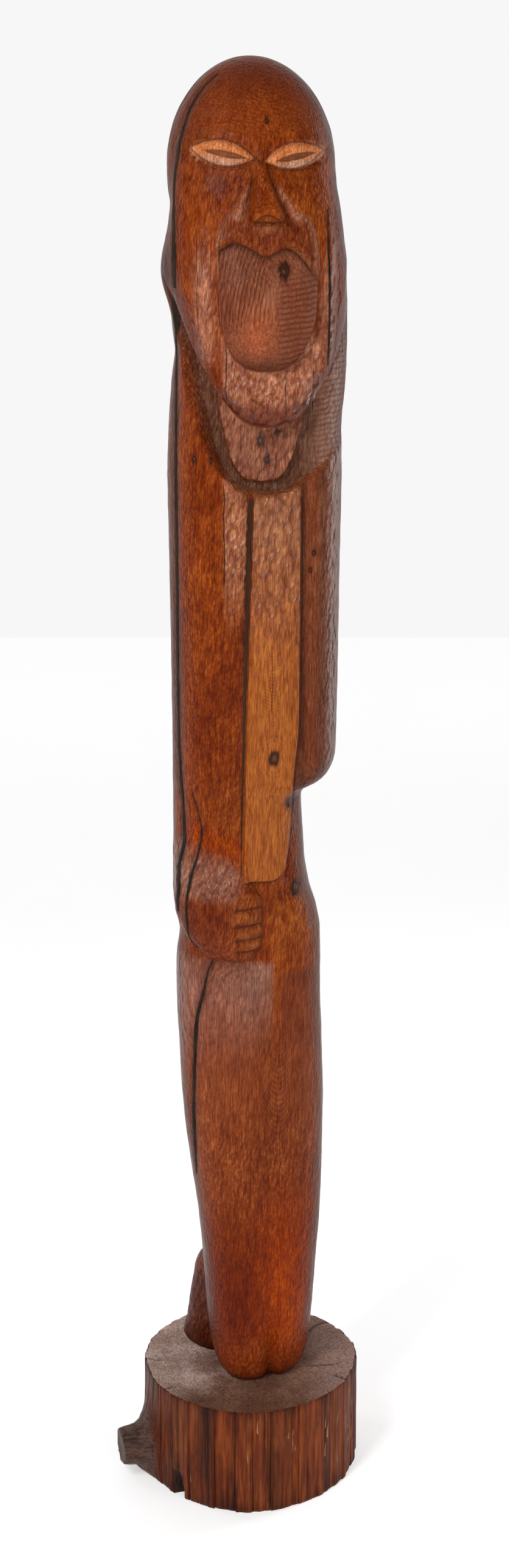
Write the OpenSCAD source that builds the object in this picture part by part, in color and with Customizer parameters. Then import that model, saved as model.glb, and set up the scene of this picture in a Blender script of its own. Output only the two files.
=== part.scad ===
// Kneeling ancestor figure carved from one log, fixed to a slice of a thicker log.
// Origin: centre of the stump's underside. +Z is up and the figure faces -Y.
// Angles round the log run anticlockwise from above: 0 right, 90 back, 180 left, 270 front.

/* [Figure] */
// Height of the carved log, from the stump to the crown
figure_h = 1655; // [1500:5:1800]
// Girth of the carved log, as a share of its usual girth
girth = 1; // [0.92:0.01:1.08]

/* [Stump] */
// Height of the stump
stump_h = 145; // [125:5:180]
// Mean diameter of the stump
stump_d = 284; // [270:2:310]
// Diameter of the cut end of the branch stub
stub_d = 50; // [36:2:60]

/* [Packed checks] */
// Width of the long check down the side
side_gap_w = 5; // [3:0.5:7]
// Width of the check through the hip and thigh
thigh_gap_w = 4.5; // [3:0.5:6]
// Width of the strip between arm and breast panel
spline_w = 6; // [4:0.5:8]
// Width of the check on the cheek
cheek_gap_w = 3; // [2:0.5:4]
// Depth to which every check is packed
packing_depth = 14; // [8:1:20]

/* [Fixings] */
// Diameter of the locating dowel
dowel_d = 25; // [16:1:30]
// Length of the locating dowel
dowel_len = 100; // [60:5:110]
// Shank diameter of the coach screws
screw_d = 8; // [6:1:10]
// How far each coach screw reaches into the figure
screw_bite = 60; // [40:5:80]
// Diameter of the washers
washer_d = 24; // [20:1:28]

/* [Hidden] */

// Height that the section list below is written for
usual_h = 1655;
stretch = figure_h / usual_h;
// The crown is a dome from this height up
dome_base_h = 1535;
dome_h = usual_h - dome_base_h;
dome_step = 11.25;
dome_rings = 7;
crown_angle = 85;
body_rings = 68;
// Slack between a packed strip and the walls of its check
slack = 0.12;
// How much wider a check is at the surface than at its floor, in degrees
wall_lean = 0.35;

// Sections of the log: height, reach to the left, right, front and back of its axis
SECTIONS = [
    [0, 55, 72, 66, 60],
    [60, 58, 80, 73, 64],
    [150, 62, 88, 77, 66],
    [250, 73, 93, 80, 68],
    [370, 89, 94, 82, 76],
    [480, 96, 90, 82, 88],
    [560, 96, 90, 82, 90],
    [620, 94, 86, 84, 86],
    [690, 97, 70, 84, 80],
    [780, 96, 64, 86, 82],
    [805, 96, 92, 87, 86],
    [835, 96, 108, 88, 92],
    [1000, 97, 109, 90, 94],
    [1150, 99, 111, 88, 94],
    [1200, 98, 110, 78, 93],
    [1310, 93, 115, 84, 92],
    [1380, 96, 114, 92, 92],
    [1440, 97, 110, 97, 90],
    [1535, 96, 100, 96, 84],
    [1655, 90, 90, 90, 80]
];

// Raised forms: angle, height, half angle, half height, rise
FORMS = [
    [280, 1350, 26, 110, 10],
    [278, 1500, 9, 70, 9],
    [185, 1420, 24, 70, 5],
    [248, 665, 36, 95, 16],
    [258, 40, 38, 130, 9],
    [146, 30, 24, 120, 34],
    [50, 30, 24, 120, 26],
    [120, 470, 40, 150, 10],
    [60, 470, 40, 150, 10],
    [60, 850, 50, 90, 12]
];

// Hermite slope of column c at section k
function slope(k, c) =
    let (a = max(k - 1, 0), b = min(k + 1, len(SECTIONS) - 1))
    (SECTIONS[b][c] - SECTIONS[a][c]) / (SECTIONS[b][0] - SECTIONS[a][0]);

function section_below(h, k = 0) =
    (k >= len(SECTIONS) - 2 || SECTIONS[k + 1][0] > h) ? k : section_below(h, k + 1);

// Reach of the log in column c at height h, on a smooth curve through the sections
function reach(h, c) =
    let (k = section_below(h), h0 = SECTIONS[k][0], gap = SECTIONS[k + 1][0] - h0, t = (h - h0) / gap)
    (2 * pow(t, 3) - 3 * pow(t, 2) + 1) * SECTIONS[k][c]
    + (pow(t, 3) - 2 * pow(t, 2) + t) * gap * slope(k, c)
    + (3 * pow(t, 2) - 2 * pow(t, 3)) * SECTIONS[k + 1][c]
    + (pow(t, 3) - pow(t, 2)) * gap * slope(k + 1, c);

function shrink(h) = h <= dome_base_h ? 1 : sqrt(1 - pow((h - dome_base_h) / dome_h, 2));

function turn_between(a, b) = abs((a - b + 540) % 360 - 180);

function swell(x) = x >= 1 ? 0 : pow(cos(90 * x), 2);

// The face is a long shield whose lower edge hangs over the neck in a U
jaw_angle = 281;
jaw_h = 1240;
jaw_side_h = 190;
jaw_half_turn = 80;
jaw_edge = 26;
shield_rise = 20;
function jaw_line(angle) = jaw_h + jaw_side_h * pow(min(1, turn_between(angle, jaw_angle) / jaw_half_turn), 2.6);
function shield(angle, h) =
    let (
        up = min(1, max(0, (h - jaw_line(angle)) / jaw_edge)),
        fade = min(1, max(0, (dome_base_h - h) / 220))
    )
    shield_rise * sin(90 * up) * fade * swell(turn_between(angle, jaw_angle) / 110);

function rise(angle, h) = shrink(h) * (shield(angle, h) + sum_of([
    for (f = FORMS) f[4] * swell(turn_between(angle, f[0]) / f[2]) * swell(abs(h - f[1]) / f[3])
]));

function sum_of(v, i = 0) = i >= len(v) ? 0 : v[i] + sum_of(v, i + 1);

// Surface of the log as [x, y]: a squarish oval whose four reaches differ, plus the raised forms
oval_power = 2.35;
function radius(angle, h) =
    let (
        c = cos(angle),
        s = sin(angle),
        side = c > 0 ? reach(h, 2) : reach(h, 1),
        deep = s > 0 ? reach(h, 4) : reach(h, 3)
    )
    shrink(h) / pow(pow(abs(c) / side, oval_power) + pow(abs(s) / deep, oval_power), 1 / oval_power);

function surface_radius(angle, h) = girth * (radius(angle, h) + rise(angle, h));

// Heights of the rings of points, closer together on the dome
RINGS = concat(
    [for (i = [0 : body_rings]) dome_base_h * i / body_rings],
    [for (i = [1 : dome_rings]) dome_base_h + dome_h * sin(dome_step * i)],
    [dome_base_h + dome_h * sin(crown_angle)]
);

// Middle line of each check, as an angle at each height, in order round the log
function side_line(h) = lookup(h, [[0, 200], [1440, 204], [1655, 218]]);
function thigh_line(h) = lookup(h, [
    [0, 222], [290, 219], [480, 227], [560, 236], [600, 239], [650, 228], [720, 225], [800, 231],
    [1655, 236]
]);
function spline_line(h) = 269;
function cheek_line(h) = 327;

// Heights between which each check is open
SIDE_SPAN = [650, 1610];
HIP_SPAN = [625, 800];
THIGH_SPAN = [290, 590];
SPLINE_SPAN = [700, 1150];
CHEEK_SPAN = [1310, 1480];

function within(h, span) = h >= span[0] && h <= span[1];

// The four checks at height h: middle angle, width, whether it is open here
function checks_at(h) = [
    [side_line(h), side_gap_w, within(h, SIDE_SPAN)],
    [thigh_line(h), thigh_gap_w, within(h, HIP_SPAN) || within(h, THIGH_SPAN)],
    [spline_line(h), spline_w, within(h, SPLINE_SPAN)],
    [cheek_line(h), cheek_gap_w, within(h, CHEEK_SPAN)]
];

// Points between one check and the next, and the points of a check itself
BETWEEN = [5, 7, 10, 34];

function half_turn(angle, width, h) = asin(min(0.5, width / 2 / surface_radius(angle, max(h, 1))));

function place(angle, h, inset) =
    let (r = surface_radius(angle, h) - inset)
    [r * cos(angle), r * sin(angle), stump_h + h * stretch];

function check_points(check, h) =
    let (a = check[0], w = half_turn(a, check[1], min(h, 1500)), d = check[2] ? packing_depth : 0)
    [
        place(a - w - wall_lean, h, 0),
        place(a - w, h, d),
        place(a + w, h, d),
        place(a + w + wall_lean, h, 0)
    ];

function ring(h) =
    let (checks = checks_at(h))
    [
        for (i = [0 : len(checks) - 1])
        let (
            now = checks[i],
            next = checks[(i + 1) % len(checks)],
            from = now[0] + half_turn(now[0], now[1], min(h, 1500)) + wall_lean,
            to = next[0] + (i == len(checks) - 1 ? 360 : 0)
                - half_turn(next[0], next[1], min(h, 1500)) - wall_lean,
            n = BETWEEN[i]
        )
        each concat(
            check_points(now, h),
            [for (j = [1 : n]) place(from + (to - from) * j / (n + 1), h, 0)]
        )
    ];

// Closed skin through a stack of rings that all have the same number of points
module loft(rings) {
    n = len(rings[0]);
    top = len(rings) - 1;
    polyhedron(
        points = [for (r = rings) each r],
        faces = concat(
            [[for (i = [0 : n - 1]) i]],
            [
                for (k = [0 : top - 1], i = [0 : n - 1])
                let (j = (i + 1) % n, a = k * n, b = (k + 1) * n)
                each [[a + i, b + i, b + j], [a + i, b + j, a + j]]
            ],
            [[for (i = [n - 1 : -1 : 0]) top * n + i]]
        ),
        convexity = 8
    );
}

// A strip that fills a check between two heights
function strip_ring(angle, width, h) =
    let (w = half_turn(angle, width - 2 * slack, min(h, 1500)))
    [
        place(angle - w, h, slack),
        place(angle - w, h, packing_depth - slack),
        place(angle + w, h, packing_depth - slack),
        place(angle + w, h, slack)
    ];

// Positions of the three coach screws, and of the dowel
SCREWS = [[-14, -38], [44, -20], [0, 44]];
DOWEL = [8, 4];
counterbore_depth = 22;
counterbore_d = washer_d + 4;
washer_t = 2.5;
screw_head_t = 6;
screw_head_d = 15;
pilot_slack = 0.4;

module carved_figure() {
    color("#9a4a1c")
    difference() {
        loft([for (h = RINGS) ring(h)]);
        translate([DOWEL[0], DOWEL[1], stump_h - 1])
        cylinder(d = dowel_d, h = dowel_len / 2 + 1, $fn = 48);
        for (p = SCREWS)
        translate([p[0], p[1], stump_h - 1])
        cylinder(d = screw_d + pilot_slack, h = screw_bite + 3, $fn = 32);
    }
}

// Rough round of the stump at an angle
function stump_radius(angle) =
    stump_d / 2 * (1 + 0.012 * sin(3 * angle + 40) + 0.006 * sin(7 * angle) + 0.004 * sin(16 * angle));

stump_points = 96;
stub_angle = 197;
stub_reach = 183;
stub_root_d = stub_d + 26;
stub_length = 70;
stub_z = 42;
flare_w = 30;
notch_angle = 229;
notch_d = 26;
bevel = 3;

module stump_round(inset, height) {
    linear_extrude(height)
    polygon([
        for (i = [0 : stump_points - 1])
        let (a = 360 * i / stump_points, r = stump_radius(a) - inset)
        [r * cos(a), r * sin(a)]
    ]);
}

module branch_stub() {
    rotate([0, 0, stub_angle])
    translate([stub_reach - stub_length, 0, stub_z])
    rotate([0, 90, 0])
    cylinder(d1 = stub_root_d, d2 = stub_d, h = stub_length, $fn = 48);
}

// Ridge of trunk wood that runs down into the stub
module stub_flare() {
    rotate([0, 0, stub_angle])
    translate([0, 0, stub_z])
    rotate([90, 0, 0])
    translate([0, 0, -flare_w / 2])
    linear_extrude(flare_w)
    polygon([
        [stump_d / 2 - 20, 0],
        [stub_reach - 28, 0],
        [stub_reach - 30, stub_d / 2 - 4],
        [stump_d / 2 - 4, stump_h - stub_z - 14],
        [stump_d / 2 - 20, stump_h - stub_z - 14]
    ]);
}

module stump_base() {
    color("#7a4a30")
    difference() {
        union() {
            stump_round(0, stump_h - bevel);
            stump_round(bevel, stump_h);
            branch_stub();
            stub_flare();
        }
        translate([0, 0, -50])
        cylinder(d = 2 * stump_d, h = 50, $fn = 64);
        rotate([0, 0, notch_angle])
        translate([stump_d / 2 + 6, 0, -1])
        cylinder(d = notch_d, h = notch_d, $fn = 32);
        translate([DOWEL[0], DOWEL[1], stump_h - dowel_len / 2])
        cylinder(d = dowel_d, h = dowel_len, $fn = 48);
        for (p = SCREWS)
        translate([p[0], p[1], 0]) {
            translate([0, 0, -1])
            cylinder(d = screw_d + 1, h = stump_h + 2, $fn = 32);
            translate([0, 0, -1])
            cylinder(d = counterbore_d, h = counterbore_depth + 1, $fn = 48);
        }
    }
}

module packed_strip(angles, width, span) {
    loft([
        for (h = RINGS)
        if (within(h, span)) strip_ring(angles(h), width, h)
    ]);
}

module side_check_filler() {
    color("#2a1a12")
    packed_strip(function (h) side_line(h), side_gap_w, SIDE_SPAN);
}

module hip_check_filler() {
    color("#2a1a12")
    packed_strip(function (h) thigh_line(h), thigh_gap_w, HIP_SPAN);
}

module thigh_check_filler() {
    color("#2a1a12")
    packed_strip(function (h) thigh_line(h), thigh_gap_w, THIGH_SPAN);
}

module cheek_check_filler() {
    color("#2a1a12")
    packed_strip(function (h) cheek_line(h), cheek_gap_w, CHEEK_SPAN);
}

module chest_spline() {
    color("#4a2a18")
    packed_strip(function (h) spline_line(h), spline_w, SPLINE_SPAN);
}

module base_dowel() {
    color("#c49a62")
    translate([DOWEL[0], DOWEL[1], stump_h - dowel_len / 2 + 1])
    cylinder(d = dowel_d, h = dowel_len - 2, $fn = 48);
}

module lag_screws() {
    color("#8f9296")
    for (p = SCREWS)
    translate([p[0], p[1], counterbore_depth - washer_t]) {
        cylinder(d = screw_d, h = stump_h + screw_bite - counterbore_depth + washer_t, $fn = 32);
        translate([0, 0, -screw_head_t])
        cylinder(d = screw_head_d, h = screw_head_t, $fn = 6);
    }
}

module washers() {
    color("#a4a7aa")
    for (p = SCREWS)
    translate([p[0], p[1], counterbore_depth - washer_t])
    difference() {
        cylinder(d = washer_d, h = washer_t, $fn = 48);
        translate([0, 0, -1])
        cylinder(d = screw_d, h = washer_t + 2, $fn = 32);
    }
}

carved_figure();
stump_base();
side_check_filler();
hip_check_filler();
thigh_check_filler();
cheek_check_filler();
chest_spline();
base_dowel();
lag_screws();
washers();
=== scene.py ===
# %% [markdown]
# # A kneeling figure carved from one log
#
# The object is a tall figure carved from a single log and set on a slice of a thicker log.
# Its forms are long and simple, so most of the look is in two things: the relief that the
# carver cut into a round trunk, and the oiled, chip-marked surface of the timber.
#
# The frame comes first. It holds the plain bodies that carry the sizes, the collision and the
# mass, and every piece made below sits where those bodies say.

# %% Load the frame
import math
import bpy
import numpy as np
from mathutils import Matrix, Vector


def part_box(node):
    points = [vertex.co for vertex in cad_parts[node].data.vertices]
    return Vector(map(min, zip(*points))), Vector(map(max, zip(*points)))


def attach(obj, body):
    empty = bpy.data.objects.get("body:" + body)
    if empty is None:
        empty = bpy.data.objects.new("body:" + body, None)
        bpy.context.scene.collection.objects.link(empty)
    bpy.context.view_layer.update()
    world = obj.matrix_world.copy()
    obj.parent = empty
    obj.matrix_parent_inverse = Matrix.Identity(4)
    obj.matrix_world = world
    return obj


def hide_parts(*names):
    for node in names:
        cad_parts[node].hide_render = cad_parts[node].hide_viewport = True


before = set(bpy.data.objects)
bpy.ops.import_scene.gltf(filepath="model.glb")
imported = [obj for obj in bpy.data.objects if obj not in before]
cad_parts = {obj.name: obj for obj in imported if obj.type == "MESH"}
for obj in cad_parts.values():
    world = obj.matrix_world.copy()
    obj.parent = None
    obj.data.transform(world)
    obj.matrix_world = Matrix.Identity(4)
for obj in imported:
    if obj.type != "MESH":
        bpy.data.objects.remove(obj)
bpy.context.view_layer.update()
MM = 0.001
STUMP_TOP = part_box("stump_base")[1][2] / MM
FIGURE_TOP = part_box("carved_figure")[1][2] / MM - STUMP_TOP
print("stump top", round(STUMP_TOP, 1), "mm, figure", round(FIGURE_TOP, 1), "mm tall")

# %% [markdown]
# ## Small helpers
#
# Every form below is a field: a number for each point of the surface that says how far the
# wood is cut back or left standing. Three helpers shape the fields. `ease` goes softly from 0
# to 1, `hump` rises and falls, and `curve` runs smoothly through a few given points without
# overshooting them.

# %% Helpers for fields
def ease(low, high, value):
    t = np.clip((value - low) / (high - low), 0.0, 1.0)
    return t * t * (3.0 - 2.0 * t)


def hump(centre, half, value):
    return np.cos(np.clip((value - centre) / half, -1.0, 1.0) * math.pi / 2) ** 2


def ridge(centre, width, value):
    return np.exp(-((value - centre) / width) ** 2)


def curve(points, value):
    px, py = np.array(points, float).T
    step = np.diff(py) / np.diff(px)
    tangent = np.zeros(len(px))
    tangent[0], tangent[-1] = step[0], step[-1]
    same_way = step[:-1] * step[1:] > 0
    tangent[1:-1][same_way] = (2 * step[:-1] * step[1:] / (step[:-1] + step[1:] + 1e-9))[same_way]
    value = np.clip(value, px[0], px[-1])
    k = np.clip(np.searchsorted(px, value) - 1, 0, len(px) - 2)
    gap = px[k + 1] - px[k]
    t = (value - px[k]) / gap
    return ((2 * t**3 - 3 * t**2 + 1) * py[k] + (t**3 - 2 * t**2 + t) * gap * tangent[k]
            + (3 * t**2 - 2 * t**3) * py[k + 1] + (t**3 - t**2) * gap * tangent[k + 1])


def blend(low, high, share):
    return low + (high - low) * share


def above(line, x, h):
    """Distance above a drawn line, measured square to it."""
    slope = line(x + 0.5) - line(x - 0.5)
    return (h - line(x)) / np.hypot(1, slope)


# %% [markdown]
# ## Chip marks as geometry
#
# A gouge leaves shallow dishes that meet in ridges. That is a cell pattern: scatter one point
# in each square of a grid, and the distance to the nearest point gives dishes with sharp
# borders. The grid wraps round the log, so there is no seam.

# %% Dishes left by the gouge
def dishes(along, up, wide, tall, round_the_log, seed):
    rng = np.random.default_rng(seed)
    across = max(1, round(round_the_log / wide))
    wide = round_the_log / across
    rows = int(1720 / tall) + 8
    shift = rng.uniform(-0.36, 0.36, (rows, across, 2))
    u = along / wide
    v = (up + 10) / tall + 2
    cu = np.floor(u).astype(int)
    cv = np.floor(v).astype(int)
    nearest = np.full(along.shape, 9.0)
    for du in (-1, 0, 1):
        for dv in (-1, 0, 1):
            gu, gv = cu + du, np.clip(cv + dv, 0, rows - 1)
            jitter = shift[gv, gu % across]
            stagger = 0.5 * (gv % 2)
            distance = (u - gu - 0.5 - stagger + 0.25 - jitter[..., 0]) ** 2
            distance += (v - gv - 0.5 - jitter[..., 1]) ** 2
            nearest = np.minimum(nearest, distance)
    return np.clip(nearest / 0.45, 0.0, 1.0)


def soft_noise(a, b, c, scale, seed):
    rng = np.random.default_rng(seed)
    total = np.zeros(np.broadcast(a, b, c).shape)
    for octave in range(3):
        freq = 2.0**octave / scale
        for _ in range(4):
            way = rng.normal(size=3)
            way /= np.linalg.norm(way)
            phase = rng.uniform(0, 2 * math.pi)
            total += np.sin((a * way[0] + b * way[1] + c * way[2]) * freq * 2 * math.pi + phase) / 2**octave
    return total / 4


# %% [markdown]
# ## The trunk
#
# The carver began with a round log, and the figure never leaves it far behind. So the trunk is
# a squarish oval whose reach to the left, right, front and back changes with height, all in
# millimetres above the stump. Angles run anticlockwise seen from above: 0 is the right, 90 the
# back, 180 the left and 270 the front.

# %% Reach of the trunk
# height, left, right, front, back
SECTIONS = [
    (-4, 30, 60, 52, 58), (0, 36, 65, 58, 60), (14, 46, 73, 66, 63), (40, 53, 79, 72, 65),
    (90, 58, 83, 75, 66), (150, 62, 87, 77, 66), (220, 68, 92, 79, 68), (300, 79, 94, 80, 72),
    (375, 87, 95, 81, 78), (450, 91, 93, 82, 84), (540, 94, 90, 82, 86), (575, 93, 90, 82, 85),
    (607, 89, 89, 82, 84), (635, 95, 84, 83, 83), (665, 97, 75, 84, 82), (700, 97, 69, 84, 80),
    (745, 96, 66, 85, 80), (785, 96, 64, 86, 81), (793, 96, 68, 86, 82), (803, 96, 88, 87, 85),
    (818, 96, 101, 88, 88), (842, 96, 107, 88, 90), (1000, 97, 109, 90, 92),
    (1100, 98, 110, 90, 93), (1175, 99, 111, 89, 93), (1230, 97, 110, 88, 92),
    (1300, 93, 115, 88, 91), (1350, 92, 116, 90, 91), (1410, 95, 114, 94, 91),
    (1470, 95, 108, 96, 89), (1535, 96, 100, 95, 84), (1660, 94, 98, 92, 82),
]
DOME_BASE = 1535.0
DOME_TALL = FIGURE_TOP - DOME_BASE
OVAL = 2.35


def reach(column, h):
    return curve([(row[0], row[column]) for row in SECTIONS], h)


def trunk(turn, h):
    c, s = np.cos(turn), np.sin(turn)
    side = np.where(c > 0, reach(2, h), reach(1, h))
    deep = np.where(s > 0, reach(4, h), reach(3, h))
    shrink = np.sqrt(np.clip(1 - ((h - DOME_BASE) / DOME_TALL).clip(0, 1) ** 2, 0, 1))
    radius = (np.abs(c / side) ** OVAL + np.abs(s / deep) ** OVAL) ** (-1 / OVAL)
    nx = np.sign(c) * np.abs(radius * c) ** (OVAL - 1) / side**OVAL
    ny = np.sign(s) * np.abs(radius * s) ** (OVAL - 1) / deep**OVAL
    size = np.hypot(nx, ny) + 1e-9
    return radius * shrink * c, radius * shrink * s, nx / size, ny / size, shrink


# %% [markdown]
# ## Outlines on the front
#
# These are the drawn lines that a carver pencils on before cutting: the lower edge of the long
# face, the trough round the neck, the breast panel and the fist. Each is a height for a given
# distance across, or a signed value that is positive inside.

# %% Lines of the face and the breast
def jaw_line(x):
    left = 112 * np.clip((18 - x) / 92, 0, 2) ** 2.1
    right = 112 * np.clip((x - 18) / 92, 0, 2) ** 2.7
    return 1240 + left + right


def trough_line(x):
    left = 78 * np.clip((24 - x) / 82, 0, 2) ** 3
    right = 31 * np.clip((x - 24) / 65, 0, 2) ** 2
    return 1163 + left + right


def patch_line(x):
    left = 79 * np.clip((18 - x) / 58, 0, 2) ** 3.5
    right = 63 * np.clip((x - 18) / 51, 0, 2) ** 3
    return 1176 + left + right


def lip_line(x):
    return curve([(-60, 1436), (-34, 1439), (-17, 1447), (0, 1441), (19, 1432), (31, 1437),
                  (42, 1441), (52, 1437), (71, 1416), (90, 1400)], x)


def panel_left(h):
    return curve([(680, -7), (768, -6), (1163, 5), (1240, 7)], h)


def panel_right(h):
    return curve([(680, 42), (705, 43), (730, 47), (814, 53), (900, 60), (1170, 61), (1240, 61)], h)


EYES = ((-29.5, 1544, 37, 14, -10), (49.5, 1541.5, 34, 14, 12))


def fist_left(h):
    return curve([(582, -30), (590, -50), (605, -68), (630, -84), (660, -92), (700, -94), (760, -96)], h)


def fist_right(h):
    return curve([(582, -14), (588, 0), (596, 8), (608, 13), (622, 15), (662, 15.5),
                  (694, 0), (720, -4), (760, -8)], h)


def muzzle_left(h):
    return curve([(1410, -33), (1443, -33.5), (1458, -31.5), (1475, -24), (1492, -3), (1500, 4)], h)


def muzzle_right(h):
    return curve([(1410, 71), (1425, 71), (1446, 69), (1466, 64), (1477, 55), (1481, 38), (1500, 30)], h)


def in_almond(x, h, cx, ch, half_long, half_tall, tilt):
    """Millimetres inside an almond outline, negative outside it."""
    lean = math.radians(tilt)
    u = (x - cx) * math.cos(lean) + (h - ch) * math.sin(lean)
    v = -(x - cx) * math.sin(lean) + (h - ch) * math.cos(lean)
    share = np.clip(u / half_long, -1.3, 1.3)
    slope = 2 * half_tall * share / half_long
    return (half_tall * (1 - share**2) - np.abs(v)) / np.hypot(1, slope)


# %% [markdown]
# ## Where the checks run
#
# A log that dries whole splits along its length. These splits are called checks, and here they
# were packed with dark filler or a strip of wood. Each one is a line on the front: its distance
# across for each height, its width and the heights between which it is open.

# %% Lines of the checks
def through(points):
    return lambda h: curve(points, h)


STRIP_END = 1160
CHECKS = {
    "side_check_filler": {
        "line": through([(640, -89), (700, -88), (740, -80), (770, -81), (860, -86.5), (950, -87),
                         (1165, -87), (1335, -86), (1450, -86.5), (1500, -86), (1550, -80),
                         (1590, -68), (1615, -53), (1636, -31)]),
        "wide": 7.0, "span": (640, 1632)},
    "hip_check_filler": {
        "line": through([(600, -62), (618, -76), (658, -78), (690, -73), (725, -63), (752, -58),
                         (780, -64), (802, -70)]),
        "wide": 3.2, "span": (596, 802)},
    "thigh_check_filler": {
        "line": through([(283, -69), (380, -71.5), (460, -69), (504, -66), (536, -59), (568, -52),
                         (586, -45)]),
        "wide": 5.6, "span": (283, 585)},
    "cheek_check_filler": {
        "line": through([(1310, 91), (1400, 92), (1440, 90), (1484, 89)]),
        "wide": 2.4, "span": (1310, 1484)},
    "chest_spline": {
        "line": through([(692, -10.5), (768, -9.5), (1000, -3.5), (1163, 1.2)]),
        "wide": 4.6, "span": (700, STRIP_END)},
}

# %% [markdown]
# ## Carving the trunk
#
# `carve` takes points of the trunk by angle and height and returns where the finished surface
# is, with the masks that the finish needs later. Big forms come first, then the edges, then
# the fine cuts, in the order in which they would be carved.

# %% Carve the whole surface
ROUND_THE_LOG = 630.0
FINGER_GROOVES = (659, 638, 620, 604)


def carve(turn, h, chips=True):
    x, y, nx, ny, shrink = trunk(turn, h)
    degrees = np.degrees(turn) % 360
    front = ease(0.05, 0.35, -ny)
    facing = ease(0.1, 0.85, -ny)
    cut = np.zeros_like(x)
    zone = {}

    # the face is a long shield that hangs over the neck
    over_jaw = above(jaw_line, x, h)
    face = ease(-1.5, 2.0, over_jaw) * front
    inside = np.clip(over_jaw, 0, None)
    cut += face * blend(3, 15, facing) * np.clip(inside / 26, 0, 1) ** 0.5 * ease(1650, 1440, h)
    zone["face"] = face

    # neck, sunk below the breast and the face, with a raised patch in it
    over_trough = above(trough_line, x, h)
    neck = ease(-2.0, 2.2, over_trough) * (1 - face) * front
    scoop = ease(60, 108, x)
    cut -= neck * blend(23, 5, scoop) * blend(0.45, 1, facing)
    patch = ease(-1.2, 1.2, above(patch_line, x, h)) * neck * ease(-46, -42, x) * ease(73, 69, x)
    cut += patch * 7
    zone["neck"], zone["patch"], zone["scoop"] = neck, patch, neck * scoop

    # dish round the tongue-like bulge, then the bulge
    qx = (x - 19) / 66
    qh = (h - 1340) / 94
    cut -= face * 13 * ease(1.05, 0.35, np.hypot(qx, qh)) * ease(1440, 1330, h)
    fold = np.maximum(ridge(-45, 10, x), ridge(82, 8, x)) * ease(1290, 1330, h) * ease(1478, 1440, h)
    cut += face * 3.0 * fold
    zone["fold"] = face * fold
    low = np.clip((1392 - h) / 90, 0, 3)
    spread = (np.abs((x - 19) / 51.5) ** 2.7 + low**2.5) ** (1 / 2.6)
    bulge_in = ease(1.0, 0.965, spread) * ease(1.5, -1.5, h - lip_line(x)) * front * ease(1290, 1296, h)
    dome = np.sqrt(np.clip(1 - spread**2.2, 0, 1))
    stand = curve([(1290, 26), (1320, 31), (1355, 31), (1395, 19), (1425, 9), (1447, 2)], h)
    cut += bulge_in * (dome * stand - 4.5 * ease(1395, 1436, h))
    zone["bulge"] = bulge_in

    # muzzle between the nose and the lip line
    wing, wing_r = muzzle_left(h), muzzle_right(h)
    muzzle = ease(-1.2, 1.2, x - wing) * ease(-1.2, 1.2, wing_r - x)
    muzzle *= ease(-1.2, 1.2, h - lip_line(x)) * ease(1492, 1474, h) * front
    cut += muzzle * (3.2 + 2.2 * ridge(5, 5, h - lip_line(x)))
    zone["muzzle"] = muzzle
    edge = np.maximum(ridge(2.5, 2.2, x - wing), ridge(2.5, 2.2, wing_r - x))
    zone["muzzle_rim"] = edge * ease(1405, 1418, h) * ease(1484, 1474, h) * front

    # brow, sockets and nose
    cut += front * 3.0 * hump(1562, 26, h) * ease(80, 30, np.abs(x - 12))
    for cx in (-30, 50):
        cut -= front * 1.8 * hump(cx, 44, x) * hump(1526, 34, h)
    axis = curve([(1460, 20), (1530, 13)], h)
    half = curve([(1462, 20), (1475, 18.5), (1500, 12), (1527, 6.5), (1545, 9)], h)
    tall = curve([(1462, 13), (1472, 15), (1500, 10), (1530, 4), (1552, 0)], h)
    nose = ease(1.12, 0.62, np.abs(x - axis) / half) * ease(1467, 1471, h) * ease(1556, 1530, h) * front
    cut += nose * tall
    valley = ridge(1.25, 0.22, np.abs(x - axis) / half) * ease(1462, 1470, h) * ease(1535, 1515, h) * front
    cut -= valley * 2.4
    zone["valley"] = valley
    zone["nose"] = nose
    wing_rim = ridge(1.62, 0.24, np.abs(x - axis) / half) * ease(1468, 1474, h) * ease(1512, 1496, h) * front
    cut += wing_rim * 1.8
    zone["wing_rim"] = wing_rim
    arch = 1469 + 7.5 * (1 - ((x - 21) / 14) ** 2)
    cut -= 5.0 * ease(0.8, -0.8, h - arch) * ease(1466, 1468, h) * ease(15, 12, np.abs(x - 21)) * front

    # small lips under the nose
    for ch, cx, wide, high in ((1463.8, 21, 17, 3.6), (1457.5, 21, 13, 2.4)):
        cut += front * 4.6 * hump(cx, wide, x) * ridge(ch, high, h)
    zone["lips"] = front * hump(21, 19, x) * ridge(1463, 5, h)

    # eyes: a cut line round an almond, full lids and a hollow slit
    for name in ("lid", "slit"):
        zone[name] = np.zeros_like(x)
    for cx, ch, long, high, tilt in EYES:
        inner = in_almond(x, h, cx, ch, long, high, tilt)
        gap = in_almond(x, h, cx + 3, ch - 1.5, long * 0.66, 3.4, tilt * 1.1)
        lid = ease(-0.6, 1.4, inner) * front
        line = ridge(-1.6, 1.7, inner) * front
        slit = ease(-0.8, 1.2, gap) * front
        cut += lid * 4.6 * np.clip(inner / 7, 0, 1) ** 0.5 - line * 2.8 - slit * 5.0
        zone["lid"] = np.maximum(zone["lid"], lid)
        zone["slit"] = np.maximum(zone["slit"], slit)

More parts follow.
